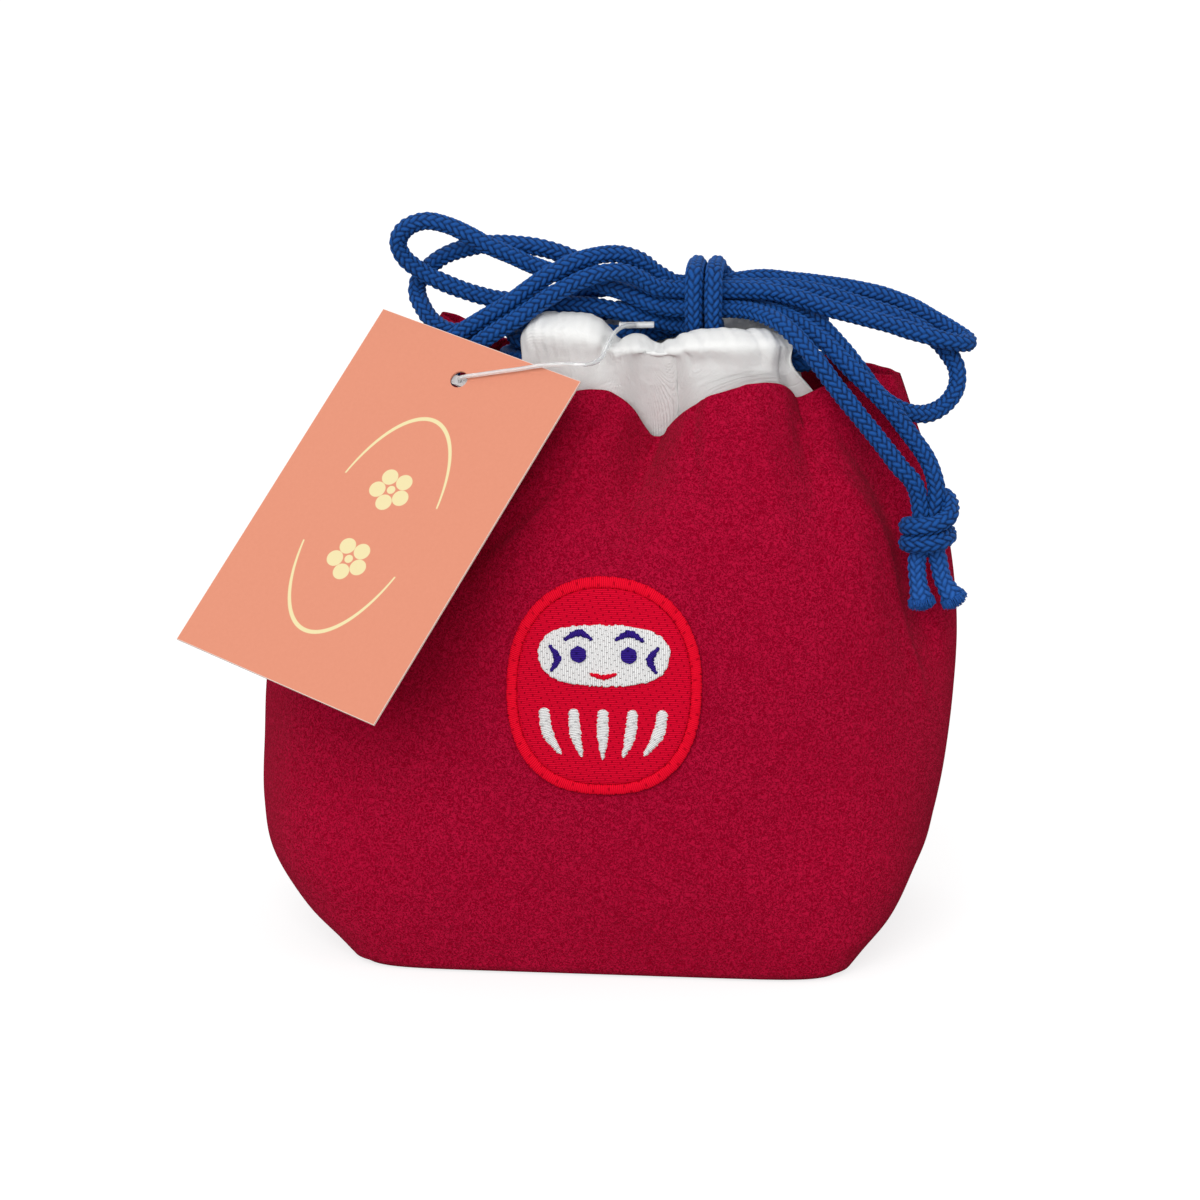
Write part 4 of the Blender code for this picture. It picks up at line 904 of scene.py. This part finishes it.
class Front:
    """The front of the crepe, as a surface that flat work is laid on."""

    def __init__(self, outer):
        self.x, self.z, self.table = front_table(outer)

    def depth(self, x, z):
        """y by linear steps between the table's four nearest values."""
        i = np.clip((x - self.x[0]) / FRONT_STEP, 0, len(self.x) - 1.001)
        j = np.clip((z - self.z[0]) / FRONT_STEP, 0, len(self.z) - 1.001)
        i0, j0 = i.astype(int), j.astype(int)
        fi, fj = i - i0, j - j0
        t = self.table
        return ((t[j0, i0] * (1 - fi) + t[j0, i0 + 1] * fi) * (1 - fj)
                + (t[j0 + 1, i0] * (1 - fi) + t[j0 + 1, i0 + 1] * fi) * fj)

    def lay(self, u, v, lift):
        """Points u right and v up from the patch's centre, lifted off the crepe."""
        x, z = PATCH_CENTRE[0] + u, PATCH_CENTRE[1] + v
        y = self.depth(x, z)
        slope_x = (self.depth(x + 1, z) - self.depth(x - 1, z)) / 2
        slope_z = (self.depth(x, z + 1) - self.depth(x, z - 1)) / 2
        out = unit(np.stack([slope_x, -np.ones_like(y), slope_z], axis=-1))
        return np.stack([x, y, z], axis=-1) + out * lift[..., None]


def egg(angle, grow):
    """The patch's outline: a superellipse, a little squarer below than above."""
    c, s = np.cos(angle), np.sin(angle)
    power = np.where(s > 0, 2.25, 2.45)
    radius = superellipse(c, s, PATCH_W / 2 + grow, PATCH_H / 2 + grow, power)
    return np.stack([radius * c, radius * s], axis=-1)


def ragged(count, per_thread, depth, seed):
    """Uneven thread ends: one random length for each thread, held over its columns."""
    rng = np.random.default_rng(seed)
    threads = rng.uniform(-1, 1, count // per_thread + 1)
    return depth * np.repeat(threads, per_thread)[:count]


def stitched_field(name, front, outline, lift, thick, finish, slot, nodes, edge=0.05, seed=1):
    """A filled shape of thread: rows shrink from its edge to its middle and rise to a flat top."""
    count = len(outline)
    centre = outline.mean(axis=0)
    radial = unit(outline - centre)
    outline = outline + radial * ragged(count, 3, edge, seed)[:, None]
    share = np.array([1.0, 1.0, 0.985, 0.95, 0.88, 0.75, 0.55, 0.3, 0.0])[:, None, None]
    height = np.array([0.0, 0.6, 0.85, 0.95, 1.0, 1.04, 1.06, 1.07, 1.07])[:, None]
    flat = centre + (outline - centre) * share
    points = front.lay(flat[..., 0], flat[..., 1], lift + thick * height + 0 * flat[..., 0])
    cloth = np.concatenate([flat, flat[:, :1]], axis=1)
    mesh = make_grid_mesh(name, points, True, cloth)
    return add_piece(mesh, finish, slot, *nodes)


def stitched_rim(front, finish):
    """The overlocked rim: half an ellipse carried round the patch, ridged at every thread."""
    across = np.linspace(0, np.pi, 11)[:, None]
    columns = RIM_THREADS * RIM_COLUMNS
    angle = 2 * np.pi * np.arange(columns) / columns
    thread = np.arange(columns) / RIM_COLUMNS
    ridge = np.abs(np.sin(np.pi * thread))[None, :]
    uneven = ragged(columns, RIM_COLUMNS, 0.12, 4)[None, :]
    middle, reach = -RIM_WIDTH / 2, RIM_WIDTH / 2 + 0.1
    grow = middle + (reach + uneven * 0.8) * np.cos(across)
    edge = egg(angle, grow)
    lift = LAYER_GAP + (PATCH_THICK + 0.12) * np.sin(across)**0.45 * (0.88 + 0.12 * ridge)
    points = front.lay(edge[..., 0], edge[..., 1], lift)
    cloth = np.stack(np.broadcast_arrays(np.arange(columns + 1)[None, :] / RIM_COLUMNS * THREAD,
                                         across * RIM_WIDTH / np.pi), axis=-1)
    mesh = make_grid_mesh("patch_rim_stitched", points, True, cloth)
    add_piece(mesh, finish, "patch_rim_thread", "patch_rim")


def stitched_stroke(name, front, path, widths, lift, finish, slot, nodes, seed):
    """A tapered satin stroke: threads lie across it, so both its edges are ragged."""
    route = evenly(spline_through([(*p, 0.0) for p in path], 12), 0.12)[:, :2]
    count = len(route)
    share = np.linspace(0, 1, count)
    half = np.interp(share, np.linspace(0, 1, len(widths)), widths) / 2
    ends = np.clip(np.minimum(share, 1 - share) / 0.06, 0.0, 1.0)**0.5
    along = unit(np.gradient(route, axis=0))
    side = np.stack([-along[:, 1], along[:, 0]], axis=-1)
    across = np.linspace(-1, 1, 9)[:, None]
    jag = (ragged(count, 3, 0.16, seed) * (across > 0)
           + ragged(count, 3, 0.16, seed + 50) * (across < 0))
    reach = (half * ends) * across + jag * np.abs(across) * ends
    flat = route[None] + side[None] * reach[..., None]
    height = STITCH_RISE * (1 - np.abs(across)**3) * (0.35 + 0.65 * ends) + 0.02
    points = front.lay(flat[..., 0], flat[..., 1], lift + height)
    length = share * np.linalg.norm(np.diff(route, axis=0), axis=1).sum()
    cloth = np.stack(np.broadcast_arrays(length[None, :], reach), axis=-1)
    mesh = make_grid_mesh(name, points[::-1], False, cloth[::-1], weld=False)
    return add_piece(mesh, finish, slot, *nodes)


def ring_of(cx, cy, rx, ry, count, power=2.0):
    angle = 2 * np.pi * np.arange(count) / count
    c, s = np.cos(angle), np.sin(angle)
    radius = superellipse(c, s, rx, ry, power)
    return np.stack([cx + radius * c, cy + radius * s], axis=-1)


def make_patch(outer, finishes):
    front = Front(outer)
    seat = LAYER_GAP
    ground = egg(2 * np.pi * np.arange(360) / 360, -RIM_WIDTH - 0.1)
    stitched_rim(front, finishes["rim"])
    stitched_field("ground_stitched", front, ground, seat, PATCH_THICK, finishes["ground"],
                   "patch_red", ["patch_ground"])
    raised = seat + PATCH_THICK
    field = ring_of(0, 7.2, 14.6, 6.7, 300, 2.6)
    stitched_field("face_stitched", front, field, raised, STITCH_RISE + 0.2, finishes["white_up"],
                   "thread_white", ["face_field"], edge=0.22, seed=7)
    top = raised + STITCH_RISE + 0.2
    for side, word in ((-1, "left"), (1, "right")):
        stitched_field(f"eye_{word}_stitched", front, ring_of(5.6 * side, 7.4, 1.8, 1.8, 60), top,
                       STITCH_RISE, finishes["navy"], "thread_navy", [f"eye_{word}"], 0.12, 11)
        for kind, path, widths in (
                ("brow", [(2.4 * side, 10.6), (5.6 * side, 12.1), (9.0 * side, 10.4)],
                 (0.7, 1.7, 0.7)),
                ("cheek", [(12.2 * side, 9.3), (10.3 * side, 6.3), (11.8 * side, 3.4)],
                 (0.7, 1.8, 0.7))):
            stitched_stroke(f"{kind}_{word}_stitched", front, path, widths, top,
                            finishes["navy_across"], "thread_navy", [f"{kind}_{word}"], 20 + side)
    stitched_stroke("mouth_stitched", front, [(-3.1, 3.3), (0.0, 2.5), (3.1, 3.3)],
                    (0.6, 1.3, 0.6), top, finishes["red_across"], "patch_rim_thread", ["mouth"], 30)
    for i in range(5):
        lean = i - 2
        path = [(6.7 * lean, -4.6), (6.1 * lean, -10.5), (4.6 * lean, -16.0 + 0.5 * abs(lean))]
        stitched_stroke(f"stroke_{i + 1}_stitched", front, path, (2.3, 2.7, 0.8), raised,
                        finishes["white_across"], "thread_white", [f"body_stroke_{i + 1}"], 40 + i)


# ---- Finishes ----

def crepe_finish():
    """Backed crepe: short crinkles under a millimetre apart, with a painted highlight on the raised
    ones and painted shade in their hollows, and sewn seams.
    """
    f = Finish("crepe_red", (0.33, 0.0015, 0.020), 0.95, sheen_weight=0.06, sheen_roughness=0.5,
               specular_ior_level=0.0)
    f.shader.inputs["Sheen Tint"].default_value = (1.0, 0.35, 0.42, 1.0)
    place = f.object_place()
    bent = f.node("VectorMath", {"operation": "ADD"}, place, f.swirl(place, 0.8, 0.8))
    worms = 1.0 - (f.noise(bent, 1.7, 1.0, 0.5) - 0.5).size().between(0.0, 0.16)
    veins = f.noise(bent, 2.8, 2.0, 0.6)
    fine = f.noise(place, 5.0, 2.0, 0.6)
    broad = f.noise(place, 0.055, 2.0)
    crinkle = worms * 0.4 + veins * 0.75 + fine * 0.3
    seam = 1.0 - f.mark("seam").between(0.15, 0.75)
    # painted light: tone runs from painted shade in the crinkles' hollows to a painted highlight on
    # their tops, and is lower along the seams
    tone = crinkle.between(0.45, 1.0) * (1.0 - seam * 0.6)
    # the first colour is the crepe in painted shade, the second the crepe under a painted highlight
    cloth = f.mixed(tone, (0.235, 0.0002, 0.0125), (0.455, 0.006, 0.040))
    f.colour(f.mixed(broad.between(0.35, 0.7) * 0.18, cloth, (0.30, 0.0006, 0.017)))
    f.relief(crinkle - seam * 1.6, 0.26)
    return f


def woven_finish(name, colour, shade, pitch, depth, wrinkle=0.0, **numbers):
    """Plain weave: warp and weft ridges that pass over each other, and slight wrinkles, with
    painted shade between the threads and uneven slubs in the colour.
    """
    f = Finish(name, colour, 0.85, specular_ior_level=0.1, **numbers)
    both, u, v = f.pattern_map("cloth")
    warp, weft = (u / pitch).wave().size(), (v / pitch).wave().size()
    turn = ((u / pitch).whole() + (v / pitch).whole()) * 0.5
    over = turn.part() > 0.25
    weave = warp * over + weft * (1.0 - over)
    slub = f.noise(both, 0.5, 3.0, 0.6)
    crumple = f.noise(both, 0.22, 3.0, 0.55, 0.6)
    # painted shade: the shade colour goes between the threads, mixed with the slubs' tone
    f.colour(f.mixed((weave * 0.55 + slub * 0.6).between(0.2, 0.95), shade, colour))
    f.relief(weave * depth + slub * 0.12 + crumple * wrinkle, 1.0)
    return f


def cord_finish(name, raised, dip):
    """Braided polyester: fine fibres along each strand, with painted shade where strands dip."""
    f = Finish(name, raised, 0.6, sheen_weight=0.08, sheen_roughness=0.35, specular_ior_level=0.1)
    f.shader.inputs["Sheen Tint"].default_value = (0.4, 0.65, 1.0, 1.0)
    both, u, v = f.pattern_map("cloth")
    ridge = f.mark("ridge")
    slanted = f.node("CombineXYZ", {}, u * 3.0 + v * 2.0, v * 0.9 - u * 0.5, 0.0)
    fibres = f.noise(slanted, 2.0, 3.0, 0.7)
    patchy = f.noise(both, 0.35, 2.0)
    # painted shade: the dip colour goes between the strands where ridge is low, mixed with fibre
    # and patchy tone
    tone = ridge.between(0.05, 0.9) * 0.75 + fibres * 0.35 + patchy * 0.3 - 0.15
    f.colour(f.mixed(tone.between(0.0, 1.0), dip, raised))
    f.relief(fibres, 0.14)
    return f


def thread_finish(name, colour, shade, axis, stitch=4.0, pitch=THREAD):
    """Embroidery: ridges one thread apart, broken where a stitch ends, with painted shade between
    the threads and at the stitch ends.
    """
    f = Finish(name, colour, 0.6, specular_ior_level=0.02)
    both, u, v = f.pattern_map("cloth")
    across, along = (v, u) if axis == "across" else (u, v)
    waver = f.noise(both, 0.35, 2.0)
    row = across / pitch + waver * 0.9
    ridge = row.wave().size()
    stagger = (row.whole() * 0.37).part()
    near_end = ((along / stitch + stagger).part() - 0.5).size().between(0.455, 0.5)
    # painted shade: the shade colour goes between the threads and where a stitch ends
    tone = ridge * 0.8 + 0.2 - near_end * 0.75
    f.colour(f.mixed(tone.between(0.0, 1.0), shade, colour))
    f.relief(ridge * 0.6 - near_end * 0.8, 0.22)
    return f


def tag_directions():
    """The tag's right, up and outward directions."""
    out = Vector((math.sin(TAG_YAW) * math.cos(TAG_TILT), -math.cos(TAG_YAW) * math.cos(TAG_TILT),
                  math.sin(TAG_TILT)))
    level = Vector((0, 0, 1)).cross(out).normalized()
    right = level * math.cos(TAG_ROLL) - out.cross(level) * math.sin(TAG_ROLL)
    return right, out.cross(right), out


def tag_finish():
    """Coloured card: faint fibres, two open arcs of a cream oval round two plain blossoms, and
    pale cut edges.

    An arc is |f - 1| f / |grad f| < half its width, with f the ellipse's own radius; a blossom
    is five round petals, folded onto one by the angle, and a dot.
    """
    f = Finish("tag_card_salmon", (0.67, 0.265, 0.17), 0.7, specular_ior_level=0.12)
    place = f.object_place()
    right, up, out = tag_directions()
    centre = Vector(TAG_CENTRE)

    def along(direction):
        dot = f.node("VectorMath", {"operation": "DOT_PRODUCT"}, place, tuple(direction),
                     out="Value")
        return dot - direction.dot(centre)

    x, y, lift = along(right), along(up) + OVAL_DROP, along(out)
    fibre = f.noise(place, 1.3, 3.0, 0.6)
    card = f.mixed(fibre, (0.65, 0.245, 0.155), (0.69, 0.27, 0.175))

    across, high = x / OVAL_HALF[0], y / OVAL_HALF[1]
    reach = (across * across + high * high)**0.5
    slope = ((across / OVAL_HALF[0])**2.0 + (high / OVAL_HALF[1])**2.0)**0.5
    off_line = ((reach - 1.0) * reach / slope).size()
    width = high.size() * 0.42 + 0.06
    arcs = (1.0 - (off_line - width).between(-0.08, 0.08)) * y.size().between(8.9, 9.3)

    def blossom(middle):
        rise = y - middle
        radius = (x * x + rise * rise)**0.5
        angle = f.node("Math", {"operation": "ARCTAN2"}, x, rise) + 2 * math.pi
        fold = angle.math("MODULO", 2 * math.pi / 5) - math.pi / 5
        side = radius * fold.math("SINE")
        ahead = radius * fold.math("COSINE") - 3.35
        petal = (ahead * ahead + side * side)**0.5
        return (1.0 - petal.between(1.86, 2.02)).math("MAXIMUM", 1.0 - radius.between(0.92, 1.08))

    ink = arcs.math("MAXIMUM", blossom(9.3)).math("MAXIMUM", blossom(-9.3))
    printed = f.mixed(ink * (lift > 0.0), card, (0.76, 0.66, 0.37))
    inside = (x.size() - TAG_W / 2).math("MAXIMUM", (y - OVAL_DROP).size() - TAG_H / 2)
    f.colour(f.mixed(inside > -0.12, printed, (0.78, 0.60, 0.53)))
    f.relief(fibre, 0.03)
    return f


def pin_finish():
    """Clear moulded plastic, slightly milky."""
    f = Finish("pin_clear_moulded", (0.93, 0.94, 0.94), 0.22, transmission_weight=0.55,
               ior=1.45, specular_ior_level=0.6)
    cloudy = f.noise(f.object_place(), 0.8, 2.0)
    f.roughness(cloudy * 0.15 + 0.15)
    return f


def dress_node(name, finish):
    """Give a CAD node that stays its finish."""
    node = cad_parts[name]
    for slot in node.material_slots:
        slot.material = finish.material
    if not node.material_slots:
        node.data.materials.append(finish.material)


# ---- Stage ----

def make_stage():
    """A pale floor that glows for the camera, up to white in the front view, with an even sky
    and one wide lamp from the front."""
    floor_finish = Finish("floor_pale", (FLOOR_COLOUR,) * 3, 0.95, specular_ior_level=0.0)
    mesh = bpy.data.meshes.new("floor")
    corners = ((-1, -1), (1, -1), (1, 1), (-1, 1))
    mesh.from_pydata([(x * FLOOR_HALF * MM, y * FLOOR_HALF * MM, -FLOOR_DROP * MM)
                      for x, y in corners], [], [(0, 1, 2, 3)])
    floor = bpy.data.objects.new("floor", mesh)
    mesh.materials.append(floor_finish.material)
    bpy.context.scene.collection.objects.link(floor)
    seen = floor_finish.node("LightPath", {}, out="Is Camera Ray")
    glow = floor_finish.node("Emission", {}, (1, 1, 1, 1), seen * FLOOR_GLOW)
    both = floor_finish.node("AddShader", {})
    floor_finish.tree.links.new(floor_finish.shader.outputs[0], both.socket.node.inputs[0])
    floor_finish.tree.links.new(glow.socket, both.socket.node.inputs[1])
    floor_finish.tree.links.new(both.socket, floor_finish.tree.nodes["Material Output"].inputs[0])

    world = bpy.data.worlds.new("studio")
    bpy.context.scene.world = world
    world.use_nodes = True
    nodes, links = world.node_tree.nodes, world.node_tree.links
    sky = nodes["Background"]
    sky.inputs["Color"].default_value = (1, 1, 1, 1)
    rays = nodes.new("ShaderNodeLightPath")
    shown = rays.outputs["Is Camera Ray"]
    for kind in ("Is Glossy Ray", "Is Transmission Ray"):
        either = nodes.new("ShaderNodeMath")
        either.operation = "MAXIMUM"
        links.new(shown, either.inputs[0])
        links.new(rays.outputs[kind], either.inputs[1])
        shown = either.outputs[0]
    level = nodes.new("ShaderNodeMapRange")
    level.inputs["To Min"].default_value = SKY_LIGHT
    level.inputs["To Max"].default_value = 1.0
    links.new(shown, level.inputs["Value"])
    links.new(level.outputs["Result"], sky.inputs["Strength"])

    lamp = bpy.data.lights.new("front_lamp", "SUN")
    lamp.energy = LAMP_LIGHT
    lamp.angle = LAMP_SPREAD
    sun = bpy.data.objects.new("front_lamp", lamp)
    sun.rotation_euler = Vector(LAMP_TOWARDS).to_track_quat("-Z", "Y").to_euler()
    bpy.context.scene.collection.objects.link(sun)


def make_camera():
    camera = bpy.data.cameras.new("camera")
    camera.lens = LENS
    camera.sensor_width = SENSOR
    camera.clip_end = SEES_TO * MM
    holder = bpy.data.objects.new("camera", camera)
    place, target = Vector(CAMERA_AT) * MM, Vector(CAMERA_TO) * MM
    holder.location = place
    holder.rotation_euler = (target - place).to_track_quat("-Z", "Y").to_euler()
    bpy.context.scene.collection.objects.link(holder)
    bpy.context.scene.camera = holder


def main():
    bpy.context.scene.view_settings.view_transform = "Standard"
    make_camera()
    make_stage()

    # each cord finish takes its blue, then the same blue in painted shade for the dips between
    # strands
    cord = cord_finish("cord_braid_blue", (0.010, 0.081, 0.32), (0.0015, 0.010, 0.046))
    cut = cord_finish("cord_cut_blue", (0.019, 0.110, 0.41), (0.005, 0.032, 0.135))
    for name, side in (("cord_left_in_channel", -1), ("cord_right_in_channel", 1)):
        mesh = braided_tube(f"{name}_braid", spline_through(ring_route(side)), 0.5, 28)
        add_piece(mesh, cord, "cord_blue", name)
    knots = {"left": LEFT_KNOT, "right": RIGHT_KNOT}
    tips = {name: make_tip(name, route, knots[name.split("_")[2]], 5 + i, cut)
            for i, (name, route) in enumerate(TIPS.items())}
    left = make_end_knot("end_knot_left", LEFT_KNOT, -1.0, cord)
    right = make_end_knot("end_knot_right", RIGHT_KNOT, 1.0, cord)
    make_cord("cord_left_a", LEFT_A, -1, 0, LEFT_KNOT, cord)
    make_cord("cord_left_b", LEFT_B, -1, -1, LEFT_KNOT, cord)
    make_cord("cord_right_a", RIGHT_A, 1, -1, RIGHT_KNOT, cord)
    make_cord("cord_right_b", RIGHT_B, 1, 0, RIGHT_KNOT, cord)

    outer = make_bag(crepe_finish())
    # lining and bands: the second colour is the same cloth in painted shade between the threads
    make_lining(woven_finish("lining_weave", (0.66, 0.68, 0.60), (0.52, 0.54, 0.47),
                             0.35, 0.1, 0.5))
    band = woven_finish("band_weave", (0.90, 0.90, 0.885), (0.82, 0.82, 0.81), 0.32, 0.05, 0.35)
    make_band("front", FRONT_PUFFS, FRONT_PLEATS, band)
    make_band("back", BACK_PUFFS, BACK_PLEATS, band)

    # the second colour of each pair is the same thread in painted shade, for the grooves between
    # threads
    red, red_painted_shade = (0.72, 0.003, 0.028), (0.40, 0.0006, 0.014)
    rim, rim_painted_shade = (0.84, 0.004, 0.026), (0.46, 0.0008, 0.012)
    white, white_painted_shade = (0.88, 0.88, 0.87), (0.55, 0.54, 0.55)
    navy, navy_painted_shade = (0.036, 0.015, 0.235), (0.014, 0.006, 0.10)
    make_patch(outer, {
        "rim": thread_finish("thread_rim", rim, rim_painted_shade, "along", 9.0),
        "ground": thread_finish("thread_ground", red, red_painted_shade, "across", 5.0),
        "white_up": thread_finish("thread_white_up", white, white_painted_shade, "along", 3.5),
        "white_across": thread_finish("thread_white_across", white, white_painted_shade, "along", 9.0, 0.36),
        "navy": thread_finish("thread_navy_rows", navy, navy_painted_shade, "across", 9.0),
        "navy_across": thread_finish("thread_navy_across", navy, navy_painted_shade, "along", 9.0, 0.36),
        "red_across": thread_finish("thread_red_across", rim, rim_painted_shade, "along", 9.0, 0.36),
    })
    dress_node("hang_tag", tag_finish())
    dress_node("tag_pin", pin_finish())


main()
